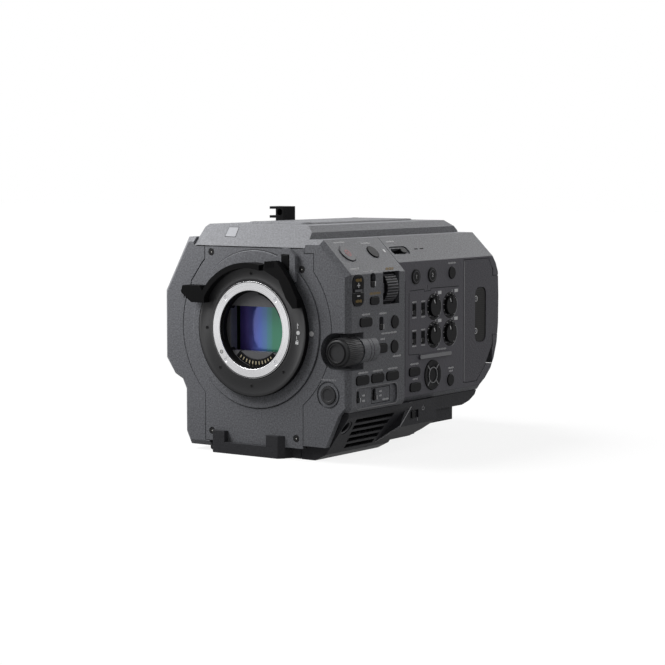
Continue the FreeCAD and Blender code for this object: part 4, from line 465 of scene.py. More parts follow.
class Coat(Enum):
    """Every finish on the camera."""

    BODY = PebbledPaint("magnesium_pebbled_paint", "#68696d", "magnesium_grey", 0.52)
    AUDIO = PebbledPaint("audio_side_pebbled_paint", "#68696d", "dark_cover", 0.52, side_from=64.7)
    DOOR = PebbledPaint("media_door_pebbled_paint", "#4e4d53", "dark_cover", 0.5)
    BASE = PebbledPaint("base_black_enamel", "#313134", "black_metal", 0.55, fleck=0.15, gloss=0.15)
    REAR = Finish("rear_moulded_polycarbonate", "#2a2a2c", "black_plastic", 0.55, gloss=0.3)
    KEY = Finish("key_moulded_abs", "#0c0c0e", "black_control", grain=0.6, grain_depth=0.012, fleck=0.15,
                 gloss=0.1)
    # Light grey for worn edges and trim; the arcs by the audio dials and the strip on the audio ridge use
    # it as painted highlight.
    EDGE = Finish("worn_edge_and_painted_highlight_enamel", "#7d7d80", "magnesium_grey", 0.5, grain=0.8, grain_depth=0.01)
    # Grey plastic of the record key and rocker; on the wheel ribs the same grey is painted highlight.
    KEY_GREY = Finish("grey_abs_and_painted_rib_highlight", "#48484c", "record_red", 0.5, grain=0.6, grain_depth=0.015, gloss=0.3)
    LEVER = Finish("lever_moulded_nylon", "#0a0a0b", "black_metal", 0.5, grain=0.7, grain_depth=0.015,
                   fleck=0.2, gloss=0.06)
    LOCK = TurnedMetal("lock_ring_anodised_aluminium", "#1c1c1e", "black_metal", 0.42, 0.2,
                       grain_depth=0.01, fleck=0.08)
    STEEL = TurnedMetal("bayonet_faced_steel", "#e6e6e8", "bayonet_steel", 0.26, 0.88, grain_depth=0.002,
                        fleck=0.05, streak=0.6)
    INSIDE = Finish("throat_flocked_black", "#0d0d0e", "black_plastic", 0.8, grain=0.5, fleck=0.3,
                    gloss=0.1)
    GATE = Finish("gate_matt_enamel", "#565659", "black_plastic", 0.6, grain=0.7)
    SENSOR = CoatedGlass("sensor_coated_glass", "#7590ea", "sensor_glass", 0.12, 0.35)
    GOLD = Finish("contact_gold_plate", "#b5ab90", "connector_nickel", 0.3, 1.0, grain=1.5,
                  grain_depth=0.004)
    NICKEL = Finish("connector_nickel_plate", "#b9b8b4", "connector_nickel", 0.28, 1.0, grain=1.5,
                    grain_depth=0.004)
    SCREW = Finish("screw_blackened_steel", "#1b1b1c", "screw_black", 0.38, 0.6, grain=1.2,
                   grain_depth=0.01)
    ALLOY = Finish("frame_cast_aluminium", "#9c9ea2", "frame_alloy", 0.45, 0.9, grain=1.4,
                   grain_depth=0.04)
    SINK = Finish("sink_extruded_aluminium", "#a6a8ab", "sink_alloy", 0.4, 0.9, grain=1.2)
    BOARD = Finish("board_solder_mask", "#17452b", "board_green", 0.35, grain=2.0)
    WHITE = Ink("ink_white_epoxy", "#dededf", "black_control", fleck=0.05)
    # Grey ink for printed marks; the same grey on the base edge and the door's front edge is painted
    # highlight.
    PALE = Ink("grey_ink_and_painted_highlight", "#9a9a9d", "black_control")
    AMBER = Ink("ink_amber_epoxy", "#8f7434", "black_control")
    RED = Ink("ink_red_epoxy", "#7d3438", "record_red", 0.55)
    LAMP = Finish("lamp_diffuser_acrylic", "#9a9b9f", "magnesium_grey", 0.6, grain=1.0, grain_depth=0.006,
                  gloss=0.15)
    WINDOW = TintedWindow("window_smoked_acrylic", "#131212", "dark_cover", 0.35, fleck=0.6, gloss=0.1)
    DARK = Finish("groove_deep_black", "#0a0a0b", "black_plastic", 0.7, grain=0.8, fleck=0.2, gloss=0.1)


@dataclass(frozen=True)
class Face:
    """A flat face that carries details: an origin and the directions across and up; out is the third."""

    origin: Triple
    across: Triple
    up: Triple

    def at(self, across: float = 0.0, up: float = 0.0, turn: float = 0.0) -> Matrix:
        """Matrix that puts a mesh drawn flat at zero onto the face.

        Args:
            across: Place along the face's first direction.
            up: Place along its second.
            turn: Turn in the face, in degrees.

        Returns:
            A rigid placement in metres.
        """
        first, second = Vector(self.across).normalized(), Vector(self.up).normalized()
        spot = (Vector(self.origin) + first * across + second * up) * MM
        frame = Matrix((first, second, first.cross(second))).transposed().to_4x4()
        return Matrix.Translation(spot) @ frame @ Matrix.Rotation(math.radians(turn), 4, "Z")


def front_face(origin: Triple) -> Face:
    """Plane that looks towards the lens: across to the control side, then up."""
    return Face(origin, (1, 0, 0), (0, 0, 1))


def control_face(level: float) -> Face:
    """Plane along the control side at a distance from the middle: rearwards, then up."""
    return Face((level, FRONT_Y, 0), (0, 1, 0), (0, 0, 1))


FRONT = front_face((0, FRONT_Y, 0))
FLANGE = front_face((0, -60, AXIS_Z))
LOCK_FACE = front_face((0, -59.2, AXIS_Z))
RING_FACE = front_face((0, -55.8, AXIS_Z))
BROW = Face((0, FRONT_Y, 129.5), (1, 0, 0), (0, SLOPE, SLOPE))
CONTROL = control_face(CONTROL_X)
AUDIO = control_face(AUDIO_X)
BUTTON_SLOPE = Face((58, FRONT_Y, 126), (0, 1, 0), (-SLOPE, 0, SLOPE))
GRIP = Face((-73.5, 121, 0), (0, -1, 0), (0, 0, 1))
REAR = Face((0, 129, 0), (-1, 0, 0), (0, 0, 1))
DECK = Face((0, FRONT_Y, 143.5), (1, 0, 0), (0, 1, 0))
UNDER = Face((0, 0, 0), (-1, 0, 0), (0, 1, 0))


def rounded(wide: float, tall: float, radius: float, steps: int = 5) -> list[Point]:
    """Outline of a rectangle with rounded corners about zero.

    Args:
        wide: Width.
        tall: Height.
        radius: Corner radius.
        steps: Segments in each corner.

    Returns:
        Corner points, turning left.
    """
    points = []
    for quarter, (side, level) in enumerate(((1, 1), (-1, 1), (-1, -1), (1, -1))):
        for step in range(steps + 1):
            angle = math.pi / 2 * (quarter + step / steps)
            points.append((side * (wide / 2 - radius) + radius * math.cos(angle),
                           level * (tall / 2 - radius) + radius * math.sin(angle)))
    return points


def circle(radius: float, steps: int = 28) -> list[Point]:
    """Outline of a circle about zero."""
    return [(radius * math.cos(2 * math.pi * step / steps), radius * math.sin(2 * math.pi * step / steps))
            for step in range(steps)]


def bar_outline(x1: float, y1: float, x2: float, y2: float, share: float) -> list[Point]:
    """Four corners of a straight line, wide by a share of its length on each side."""
    dx, dy = (x2 - x1) * share, (y2 - y1) * share
    return [(x1 + dy, y1 - dx), (x2 + dy, y2 - dx), (x2 - dy, y2 + dx), (x1 - dy, y1 + dx)]


def band(inner: float, outer: float, low: float, high: float) -> list[Point]:
    """Section of a ring with square edges."""
    return [(inner, low), (outer, low), (outer, high), (inner, high)]


def ring_line(radius: float, width: float, low: float = SUNK, high: float = 0.04) -> list[Point]:
    """Section of a thin flat ring, by its middle and its width."""
    return band(radius - width / 2, radius + width / 2, low, high)


class Draft:
    """A mesh in the making, drawn flat in millimetres and laid on faces of the camera."""

    def __init__(self) -> None:
        """Start with nothing drawn."""
        self.mesh = bmesh.new()

    def shift(self, fresh: Iterable[bmesh.types.BMVert], where: Matrix) -> None:
        """Scale new points to metres and lay them on a face."""
        for vert in fresh:
            vert.co = where @ (vert.co * MM)

    def plate(self, where: Matrix, outline: Sequence[Point], low: float, high: float,
              draft: float = 0.0) -> "Draft":
        """Add a flat plate.

        Args:
            where: Placement on a face.
            outline: Its corners, turning left.
            low: Height of its back.
            high: Height of its front.
            draft: Share by which the front is smaller.

        Returns:
            This draft.
        """
        back = [self.mesh.verts.new((x, y, low)) for x, y in outline]
        front = [self.mesh.verts.new((x * (1 - draft), y * (1 - draft), high)) for x, y in outline]
        self.mesh.faces.new(list(reversed(back)))
        self.mesh.faces.new(front)
        for number in range(len(outline)):
            follow = (number + 1) % len(outline)
            self.mesh.faces.new((back[number], back[follow], front[follow], front[number]))
        self.shift(back + front, where)
        return self

    def lathe(self, where: Matrix, profile: Sequence[Point], steps: int = 48, start: float = 0.0,
              sweep: float = 360.0) -> "Draft":
        """Add a turned form about the face's outward axis.

        Args:
            where: Placement on a face.
            profile: Closed section, as radius and height.
            steps: Segments of the turn.
            start: First angle in degrees.
            sweep: Angle turned through.

        Returns:
            This draft.
        """
        whole = sweep >= 360.0
        turns = steps if whole else steps + 1
        rows = []
        for step in range(turns):
            angle = math.radians(start + sweep * step / steps)
            rows.append([self.mesh.verts.new((radius * math.cos(angle), radius * math.sin(angle), height))
                         for radius, height in profile])
        for step in range(steps):
            here, there = rows[step], rows[(step + 1) % turns]
            for number in range(len(profile)):
                follow = (number + 1) % len(profile)
                self.mesh.faces.new((here[number], there[number], there[follow], here[follow]))
        if not whole:
            self.mesh.faces.new(rows[0])
            self.mesh.faces.new(list(reversed(rows[-1])))
        self.shift([vert for row in rows for vert in row], where)
        return self

    def stroke(self, where: Matrix, points: Sequence[Point], width: float, low: float = 0.0,
               high: float = 0.05) -> "Draft":
        """Add a line of an even width, as one plate for each straight piece.

        Args:
            where: Placement on a face.
            points: Its points in order.
            width: Its width.
            low: Height of its back.
            high: Height of its front.

        Returns:
            This draft.
        """
        for (x1, y1), (x2, y2) in zip(points, points[1:]):
            length = math.hypot(x2 - x1, y2 - y1)
            self.plate(where, bar_outline(x1, y1, x2, y2, width / 2 / length), low, high)
        return self

    def legend(self, face: Face, across: float, up: float, wide: float, tall: float = 1.2) -> "Draft":
        """Add a row of plain ticks where a control is marked.

        Args:
            face: Face that they are printed on.
            across: Middle of the row.
            up: Height of the row.
            wide: Its length.
            tall: Height of a tick; every third one is shorter.

        Returns:
            This draft.
        """
        count = max(2, round(wide / TICK_PITCH))
        for number in range(count):
            spot = across + (number - (count - 1) / 2) * wide / count
            short = tall if number % 3 else tall * 0.7
            self.plate(face.at(spot, up), rounded(0.5, short, 0.15, 2), SUNK, 0.06)
        return self

    def legends(self, face: Face, labels: Iterable[Triple], tall: float = 1.2) -> "Draft":
        """Add rows of ticks.

        Args:
            face: Face that they are printed on.
            labels: Middle, height and length of each row.
            tall: Height of a tick.

        Returns:
            This draft.
        """
        for across, up, wide in labels:
            self.legend(face, across, up, wide, tall)
        return self

    def frame(self, face: Face, across: float, up: float, wide: float, tall: float,
              width: float) -> "Draft":
        """Add a thin rectangular frame.

        Args:
            face: Face that carries it.
            across: Its middle across the face.
            up: Its middle up the face.
            wide: Its width.
            tall: Its height.
            width: Width of its line.

        Returns:
            This draft.
        """
        x, y = wide / 2, tall / 2
        around = [(-x, -y), (x, -y), (x, y), (-x, y), (-x, -y)]
        return self.stroke(face.at(across, up), around, width, SUNK)

    def glyph(self, where: Matrix, text: str, tall: float, high: float = 0.06) -> "Draft":
        """Add a plain number or sign, centred at zero.

        Args:
            where: Placement on a face.
            text: The sign.
            tall: Height of a capital.
            high: Thickness of the ink.

        Returns:
            This draft.
        """
        curve = bpy.data.curves.new("sign", "FONT")
        curve.body = text
        curve.size = tall * 1.4
        curve.extrude = high / 2
        curve.resolution_u = 2
        curve.align_x = "CENTER"
        curve.align_y = "CENTER"
        sign = evaluated(link("sign", curve))
        before = set(self.mesh.verts)
        self.mesh.from_mesh(sign)
        self.shift([vert for vert in self.mesh.verts if vert not in before], where)
        bpy.data.meshes.remove(sign)
        return self

    def done(self, name: str) -> bpy.types.Mesh:
        """Close the draft.

        Args:
            name: Name of the mesh.

        Returns:
            Its mesh, with faces turned outwards.
        """
        bmesh.ops.remove_doubles(self.mesh, verts=self.mesh.verts, dist=1e-7)
        bmesh.ops.recalc_face_normals(self.mesh, faces=self.mesh.faces)
        mesh = bpy.data.meshes.new(name)
        self.mesh.to_mesh(mesh)
        self.mesh.free()
        return mesh


class Layout(Enum):
    """How a repeated piece is laid out."""

    RING = "ring"
    ROW = "row"


def repeat_tree(layout: Layout) -> bpy.types.GeometryNodeTree:
    """Build the node tree that repeats a piece round a ring or along a row.

    Args:
        layout: Ring or row.

    Returns:
        A tree with named inputs for its sizes.
    """
    tree = bpy.data.node_groups.new(f"repeat_{layout.value}", "GeometryNodeTree")
    tree.interface.new_socket("Piece", in_out="INPUT", socket_type="NodeSocketGeometry")
    for name, kind in (("Count", "NodeSocketInt"), ("Radius", "NodeSocketFloat"),
                       ("Start", "NodeSocketFloat"), ("Step", "NodeSocketFloat"),
                       ("Finish", "NodeSocketMaterial")):
        tree.interface.new_socket(name, in_out="INPUT", socket_type=kind)
    tree.interface.new_socket("Pieces", in_out="OUTPUT", socket_type="NodeSocketGeometry")
    given = tree.nodes.new("NodeGroupInput").outputs
    line = add_node(tree, "GeometryNodeMeshLine", inputs={"Count": given["Count"], "Offset": (0, 0, 0)})
    index = add_node(tree, "GeometryNodeInputIndex").outputs["Index"]
    value = add_node(tree, "ShaderNodeMath", {"operation": "MULTIPLY_ADD"},
                     {0: index, 1: given["Step"], 2: given["Start"]}).outputs["Value"]
    turn = add_node(tree, "ShaderNodeCombineXYZ")
    spot = add_node(tree, "ShaderNodeCombineXYZ")
    if layout is Layout.RING:
        for axis, function in (("X", "COSINE"), ("Y", "SINE")):
            share = add_node(tree, "ShaderNodeMath", {"operation": function}, {0: value})
            reach = add_node(tree, "ShaderNodeMath", {"operation": "MULTIPLY"},
                             {0: share.outputs["Value"], 1: given["Radius"]})
            tree.links.new(reach.outputs["Value"], spot.inputs[axis])
        tree.links.new(value, turn.inputs["Z"])
    else:
        tree.links.new(value, spot.inputs["X"])
        tree.links.new(given["Radius"], spot.inputs["Y"])
    placed = add_node(tree, "GeometryNodeSetPosition",
                      inputs={"Geometry": line.outputs["Mesh"], "Position": spot.outputs["Vector"]})
    many = add_node(tree, "GeometryNodeInstanceOnPoints",
                    inputs={"Points": placed.outputs["Geometry"], "Instance": given["Piece"],
                            "Rotation": turn.outputs["Vector"]})
    real = add_node(tree, "GeometryNodeRealizeInstances", inputs={"Geometry": many.outputs["Instances"]})
    dressed = add_node(tree, "GeometryNodeSetMaterial", inputs={"Geometry": real.outputs["Geometry"],
                                                                "Material": given["Finish"]})
    out = tree.nodes.new("NodeGroupOutput")
    tree.links.new(dressed.outputs["Geometry"], out.inputs["Pieces"])
    return tree


@dataclass
class Bench:
    """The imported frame, the finishes and the tools that put pieces on it."""

    frame: dict[str, Any]
    finishes: dict[Coat, bpy.types.Material] = field(default_factory=dict)
    trees: dict[Layout, bpy.types.GeometryNodeTree] = field(default_factory=dict)

    def __post_init__(self) -> None:
        """Make every finish and layout once."""
        self.finishes = {coat: coat.value.build() for coat in Coat}
        self.trees = {layout: repeat_tree(layout) for layout in Layout}

    def body_of(self, node: str) -> str:
        """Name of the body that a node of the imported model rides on."""
        return self.frame["nodes"][node]["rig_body"]

    def place(self, name: str, mesh: bpy.types.Mesh, coat: Coat, body: str = "casing",
              smooth: float = SMOOTH_BELOW, replaces: Sequence[str] = ()) -> bpy.types.Object:
        """Put a finished mesh on a body.

        Args:
            name: The piece's name.
            mesh: Its mesh, in place.
            coat: Its finish.
            body: Body that it rides on.
            smooth: Edges below this angle, in degrees, are shaded smooth; zero keeps the mesh's own.
            replaces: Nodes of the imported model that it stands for.

        Returns:
            The new object.
        """
        mesh.materials.clear()
        mesh.materials.append(self.finishes[coat])
        if smooth:
            mesh.shade_smooth()
            mesh.set_sharp_from_angle(angle=math.radians(smooth))
        piece = link(name, mesh)
        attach(piece, body)
        if replaces:
            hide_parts(*replaces)
        LOG.info("%s: %d faces on %s", name, len(mesh.polygons), body)
        return piece

    def carry(self, node: str, coat: Coat, edge: float) -> bpy.types.Object:
        """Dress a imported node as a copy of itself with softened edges.

        Args:
            node: The node's name.
            coat: Its finish.
            edge: Width of the edge bevel.

        Returns:
            The piece that stands for the node.
        """
        work = bmesh.new()
        work.from_mesh(self.frame["nodes"][node].data)
        bmesh.ops.remove_doubles(work, verts=work.verts, dist=WELD)
        if edge:
            bmesh.ops.dissolve_limit(work, angle_limit=math.radians(FLAT_BELOW), verts=work.verts,
                                     edges=work.edges)
        mesh = bpy.data.meshes.new(node + "_finished")
        work.to_mesh(mesh)
        work.free()
        mesh.shade_smooth()
        mesh.set_sharp_from_angle(angle=math.radians(SMOOTH_BELOW))
        if edge:
            mesh = bevelled(mesh, edge)
        return self.place(node + "_finished", mesh, coat, self.body_of(node), 0.0, [node])


@dataclass
class Part:
    """A sub-assembly of the camera, made at the bench."""

    bench: Bench

    def put(self, name: str, draft: Draft, coat: Coat, body: str = "casing") -> None:
        """Close a draft and put it on a body."""
        self.bench.place(name, draft.done(name), coat, body)

    def repeat(self, name: str, piece: Draft, coat: Coat, where: Matrix, layout: Layout, count: int,
               step: float, radius: float = 0.0, start: float = 0.0, body: str = "casing") -> None:
        """Put a piece drawn about zero many times round a ring or along a row.

        Args:
            name: Name of all of them together.
            piece: The draft of one.
            coat: Its finish.
            where: Placement of the ring's middle or the row's zero.
            layout: Ring or row.
            count: How many.
            step: Angle in degrees or distance in millimetres from one to the next.
            radius: Ring radius, or the row's height on the face, in millimetres.
            start: First angle in degrees, or first place in millimetres.
            body: Body that they ride on.
        """
        holder = link("repeat_work", piece.done("repeat_work"))
        modifier = holder.modifiers.new("repeat", "NODES")
        modifier.node_group = self.bench.trees[layout]
        turn = layout is Layout.RING
        values = {"Count": count, "Radius": radius * MM,
                  "Start": math.radians(start) if turn else start * MM,
                  "Step": math.radians(step) if turn else step * MM, "Finish": self.bench.finishes[coat]}
        for item in modifier.node_group.interface.items_tree:
            if item.in_out == "INPUT" and item.name in values:
                modifier[item.identifier] = values[item.name]
        mesh = evaluated(holder)
        mesh.transform(where)
        self.bench.place(name, mesh, coat, body)

    def screws(self, face: Face, places: Sequence[Point], heads: str, sockets: str,
               head_radius: float = 2.2, socket_radius: float = 1.0) -> None:
        """Set countersunk screws in a face.

        Args:
            face: Face that carries them.
            places: Their places on it.
            heads: Name of the heads together.
            sockets: Name of the sockets together.
            head_radius: Radius of a head.
            socket_radius: Radius of the six-sided socket.
        """
        section = [(1.0, -0.1), (head_radius, -0.1), (head_radius, 0.03), (0.7 + head_radius / 2, 0.12),
                   (1.2, 0.12), (1.0, 0.0)]
        tops, holes = Draft(), Draft()
        for place in places:
            tops.lathe(face.at(*place), section, 24)
            holes.plate(face.at(*place), circle(socket_radius, HEX), -0.1, 0.03)
        self.put(heads, tops, Coat.SCREW)
        self.put(sockets, holes, Coat.DARK)


@dataclass
class Covers(Part):
    """Painted castings and the mouldings between them, with the finish and edge of each node."""

    edges: dict[str, tuple[Coat, float]] = field(default_factory=lambda: {
        "front_panel": (Coat.BODY, 0.35), "top_cover": (Coat.BODY, 0.5),
        "grip_side_cover": (Coat.BODY, 0.5), "control_side_cover": (Coat.BODY, 0.3),
        "audio_side_cover": (Coat.AUDIO, 0.25), "media_door": (Coat.DOOR, 0.3),
        "rear_cover": (Coat.REAR, 0.4), "base_plate": (Coat.BASE, 0.4),
        "mount_base_ring": (Coat.BODY, 0.4), "lens_mount_ring": (Coat.STEEL, 0.2),
        "lock_ring": (Coat.LEVER, 0.5), "lock_catch": (Coat.LEVER, 0.4),
        "light_baffle": (Coat.GATE, 0.0), "sensor_glass": (Coat.SENSOR, 0.0),
        "chassis": (Coat.ALLOY, 0.0), "circuit_boards": (Coat.BOARD, 0.0),
        "heat_sink": (Coat.SINK, 0.0), "fan_impeller": (Coat.LEVER, 0.0),
        "card_reader": (Coat.REAR, 0.0), "cable_clip": (Coat.LEVER, 0.3),
        "rear_connectors": (Coat.NICKEL, 0.25), "panel_screws": (Coat.SCREW, 0.15),
        "record_button": (Coat.KEY_GREY, 0.35), "review_button": (Coat.KEY, 0.3),
        "function_dial": (Coat.REAR, 0.25), "white_set_button": (Coat.REAR, 0.25),
        "dial_shaft": (Coat.ALLOY, 0.2),
    })

    def build(self) -> None:
        """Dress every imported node."""
        for node in sorted(self.bench.frame["nodes"]):
            coat, edge = self.edges.get(node, (Coat.KEY, 0.25))
            self.bench.carry(node, coat, edge)


@dataclass
class LensMount(Part):
    """Bayonet, lock ring with its marks and ribs, and the contacts low in the throat."""

    lock_inner: float = 30.4
    lock_outer: float = 41.1
    screw_circle: float = 34.7
    throat: float = 24.25
    contact_circle: float = 20.9
    contact_count: int = 11
    locating_pin: Point = (-22.7, -14.6)
    dot: Point = (35.7, -0.2)
    body_dot: Point = (43.2, -0.7)

    def build(self) -> None:
        """Make every piece of the mount."""
        self.lock_face()
        self.lock_marks()
        self.grips()
        self.bayonet()
        self.contacts()

    def lock_face(self) -> None:
        """Faced ring on the front of the lock ring, with its screws."""
        inner, outer = self.lock_inner, self.lock_outer
        section = [(inner, -0.1), (outer, -0.1), (outer, 0.0), (outer - 0.4, 0.1), (outer - 1.6, 0.1),
                   (outer - 1.8, 0.02), (inner + 1.6, 0.02), (inner + 1.4, 0.1), (inner + 0.3, 0.1),
                   (inner, 0.0)]
        face = Draft().lathe(LOCK_FACE.at(), section, 128)
        self.put("lock_ring_face", face, Coat.LOCK, "lock_ring")
        head_section = ((0.55, SUNK), (1.2, SUNK), (1.2, 0.12), (1.0, 0.2), (0.7, 0.2), (0.55, 0.0))
        for name, count, start in (("lock_ring_screws", 4, 180), ("lock_ring_top_screw", 1, 90)):
            for end, one, coat in (
                    ("", Draft().lathe(FLAT, head_section, 16), Coat.SCREW),
                    ("_sockets", Draft().plate(FLAT, circle(0.6, HEX), SUNK, 0.06), Coat.DARK)):
                self.repeat(name + end, one, coat, LOCK_FACE.at(), Layout.RING, count, 45,
                            self.screw_circle, start, "lock_ring")

    def lock_marks(self) -> None:
        """White dots that are lined up, the arrow to the locked end and a plain padlock."""
        marks = Draft().plate(LOCK_FACE.at(*self.dot), circle(1.25), SUNK, 0.14)
        marks.stroke(LOCK_FACE.at(35.3, 3.9), [(0, -1.6), (-0.2, 1.7)], 0.4, SUNK, 0.14)
        marks.stroke(LOCK_FACE.at(35.1, 5.4), [(-0.1, 0.3), (0.9, -1.1)], 0.4, SUNK, 0.14)
        marks.plate(LOCK_FACE.at(34.8, -6.4, -10), rounded(2.2, 1.7, 0.2), SUNK, 0.14)
        marks.lathe(LOCK_FACE.at(34.95, -5.5, -10), band(0.55, 0.9, SUNK, 0.14), 12, 0, 180)
        marks.stroke(LOCK_FACE.at(34.6, -3.2), [(0, 0.9), (0, -0.9)], 0.35, SUNK, 0.14)
        self.put("lock_ring_marks", marks, Coat.WHITE, "lock_ring")
        dot = Draft().plate(RING_FACE.at(*self.body_dot), circle(1.6), SUNK, 0.12)
        self.put("mount_index_dot", dot, Coat.WHITE)

    def grips(self) -> None:
        """Finger ribs at the left end of the hood and on the left wing."""
        rib = Draft().plate(FLAT, rounded(0.5, 4.2, 0.24, 3), -0.3, 0.2, 0.1)
        hood = Face((14.6, -64.1, 119), (1, 0, 0.12), (-0.12, 0, 1))
        self.repeat("hood_finger_ribs", rib, Coat.LEVER, hood.at(), Layout.ROW, 6, 1.15,
                    body="lock_ring")
        groove = Draft().plate(FLAT, rounded(0.45, 5.4, 0.2, 3), -0.3, 0.03)
        wing = front_face((-49.0, -64.5, 99.0))
        self.repeat("wing_grip_grooves", groove, Coat.DARK, wing.at(), Layout.ROW, 4, 1.6,
                    body="lock_ring")

    def bayonet(self) -> None:
        """Sleeve, lugs and chamfer of the steel bayonet, and its locating pin."""
        throat = self.throat
        sleeve = Draft().lathe(FLANGE.at(), [(throat - 0.9, -9.4), (throat, -9.4), (throat, -0.9),
                                                 (throat - 0.5, -1.1)], 96)
        self.put("throat_sleeve", sleeve, Coat.INSIDE)
        lugs = Draft()
        for start in (22, 142, 262):
            lugs.lathe(FLANGE.at(), [(throat - 1.9, -3.4), (throat - 0.4, -3.4), (throat - 0.4, -1.6),
                                         (throat - 1.7, -1.7)], 24, start, 56)
        self.put("bayonet_lugs", lugs, Coat.LEVER)
        shine = Draft().lathe(FLANGE.at(), ring_line(29.55, 0.5, SUNK, 0.03), 96)
        shine.lathe(FLANGE.at(*self.locating_pin), ring_line(1.0, 0.45, SUNK, 0.03), 16)
        self.put("bayonet_grooves", shine, Coat.SCREW)
        pin = Draft().lathe(FLANGE.at(*self.locating_pin), [(0.01, SUNK), (0.6, SUNK), (0.55, 0.05),
                                                            (0.01, 0.08)], 12)
        self.put("bayonet_pin_tip", pin, Coat.NICKEL)

    def contacts(self) -> None:
        """Gold contact blades on their curved carrier, low in the throat."""
        carrier = Draft().lathe(FLANGE.at(), [(18.4, -9.6), (23.2, -9.6), (23.2, -6.2), (22.6, -5.6),
                                                  (19.0, -5.6), (18.4, -6.2)], 40, 228, 84)
        self.put("contact_carrier", carrier, Coat.KEY)
        blade = Draft().plate(FLAT, rounded(2.4, 0.8, 0.3, 3), -0.1, 0.25, 0.1)
        strip = front_face((0, -54.4, AXIS_Z))
        self.repeat("lens_contacts", blade, Coat.GOLD, strip.at(), Layout.RING,
                    self.contact_count, 6.8, self.contact_circle, 236)


@dataclass
class FrontAndRoof(Part):
    """Screw sockets, lamp window and deck screws of the front, brow and roof."""

    screw_places: tuple[Point, ...] = ((-34.5, 125.4), (35.3, 116.5), (-34.5, 13), (31, 13))
    lamp_outline: tuple[Point, ...] = ((-27.7, 7.9), (-19.8, 7.8), (-21.2, 15.7), (-28.6, 15.6))
    deck_screws: tuple[Point, ...] = ((-30, 40), (11, 40), (-30, 152), (11, 152))

    def build(self) -> None:
        """Make the small pieces of the front and the roof."""
        rise = FRONT_Y - box("panel_screws")[0].y
        sockets, pins = Draft(), Draft()
        for place in self.screw_places:
            sockets.plate(FRONT.at(*place), circle(1.15, HEX), rise - 0.3, rise + 0.03)
            pins.plate(FRONT.at(*place), circle(0.42, 8), rise, rise + 0.06)
        self.put("panel_screw_sockets", sockets, Coat.DARK)
        self.put("panel_screw_pins", pins, Coat.NICKEL)
        self.put("white_set_marks", Draft().legend(FRONT, 55.2, 50.5, 11), Coat.PALE)
        seam = Draft().stroke(FRONT.at(), ((-46.5, 129.1), (36.4, 129.1)), 0.55, -0.2, 0.03)
        self.put("brow_seam", seam, Coat.DARK)
        self.lamp()
        self.screws(DECK, self.deck_screws, "deck_screws", "deck_screw_sockets", 2.4, 1.1)

    def lamp(self) -> None:
        """Warning lamp behind a flush window in the brow."""
        middle = Vector((sum(x for x, _ in self.lamp_outline), sum(y for _, y in self.lamp_outline))) / 4
        rim = [tuple(middle + (Vector(point) - middle) * 1.09) for point in self.lamp_outline]
        self.put("front_lamp_rim", Draft().plate(BROW.at(), rim, -0.3, 0.04), Coat.DARK)
        window = Draft().plate(BROW.at(), self.lamp_outline, -0.2, 0.1)
        self.put("front_lamp_window", window, Coat.LAMP)


@dataclass
class ButtonSlope(Part):
    """Marks and lamps on the slope above the control side."""

    record: Point = (15.7, 0.0)
    labels: tuple[Triple, ...] = ((15.9, 9.3, 12), (42.4, 7.6, 10), (70.4, 7.8, 9))
    lamp_place: Point = (56.4, 0.4)
    slits: tuple[float, ...] = (92.6, 99.2)

    def build(self) -> None:
        """Print the slope and set its lamp and slits."""
        marks = Draft().legends(BUTTON_SLOPE, self.labels, 1.1)
        marks.plate(BUTTON_SLOPE.at(*self.lamp_place), rounded(2.0, 2.6, 0.4), SUNK, 0.1)
        self.put("slope_marks", marks, Coat.WHITE)
        dark = Draft()
        for along in self.slits:
            dark.plate(BUTTON_SLOPE.at(along, 0.4), rounded(4.2, 0.9, 0.4), -0.1, 0.04)
        self.put("speaker_slits", dark, Coat.DARK)
        self.record_mark()

    def record_mark(self) -> None:
        """Red ring and dot on the record button, at the height of its top above the slope."""
        cap = self.bench.frame["nodes"]["record_button"].data
        out = Vector((SLOPE, 0, SLOPE))
        rise = max((vert.co / MM - Vector(BUTTON_SLOPE.origin)).dot(out) for vert in cap.vertices)
        red = Draft().lathe(BUTTON_SLOPE.at(*self.record), ring_line(2.2, 0.9, rise - 0.2, rise + 0.05), 32)
        red.plate(BUTTON_SLOPE.at(*self.record), circle(0.9), rise - 0.2, rise + 0.05)
        self.put("record_mark", red, Coat.RED, "record_button")


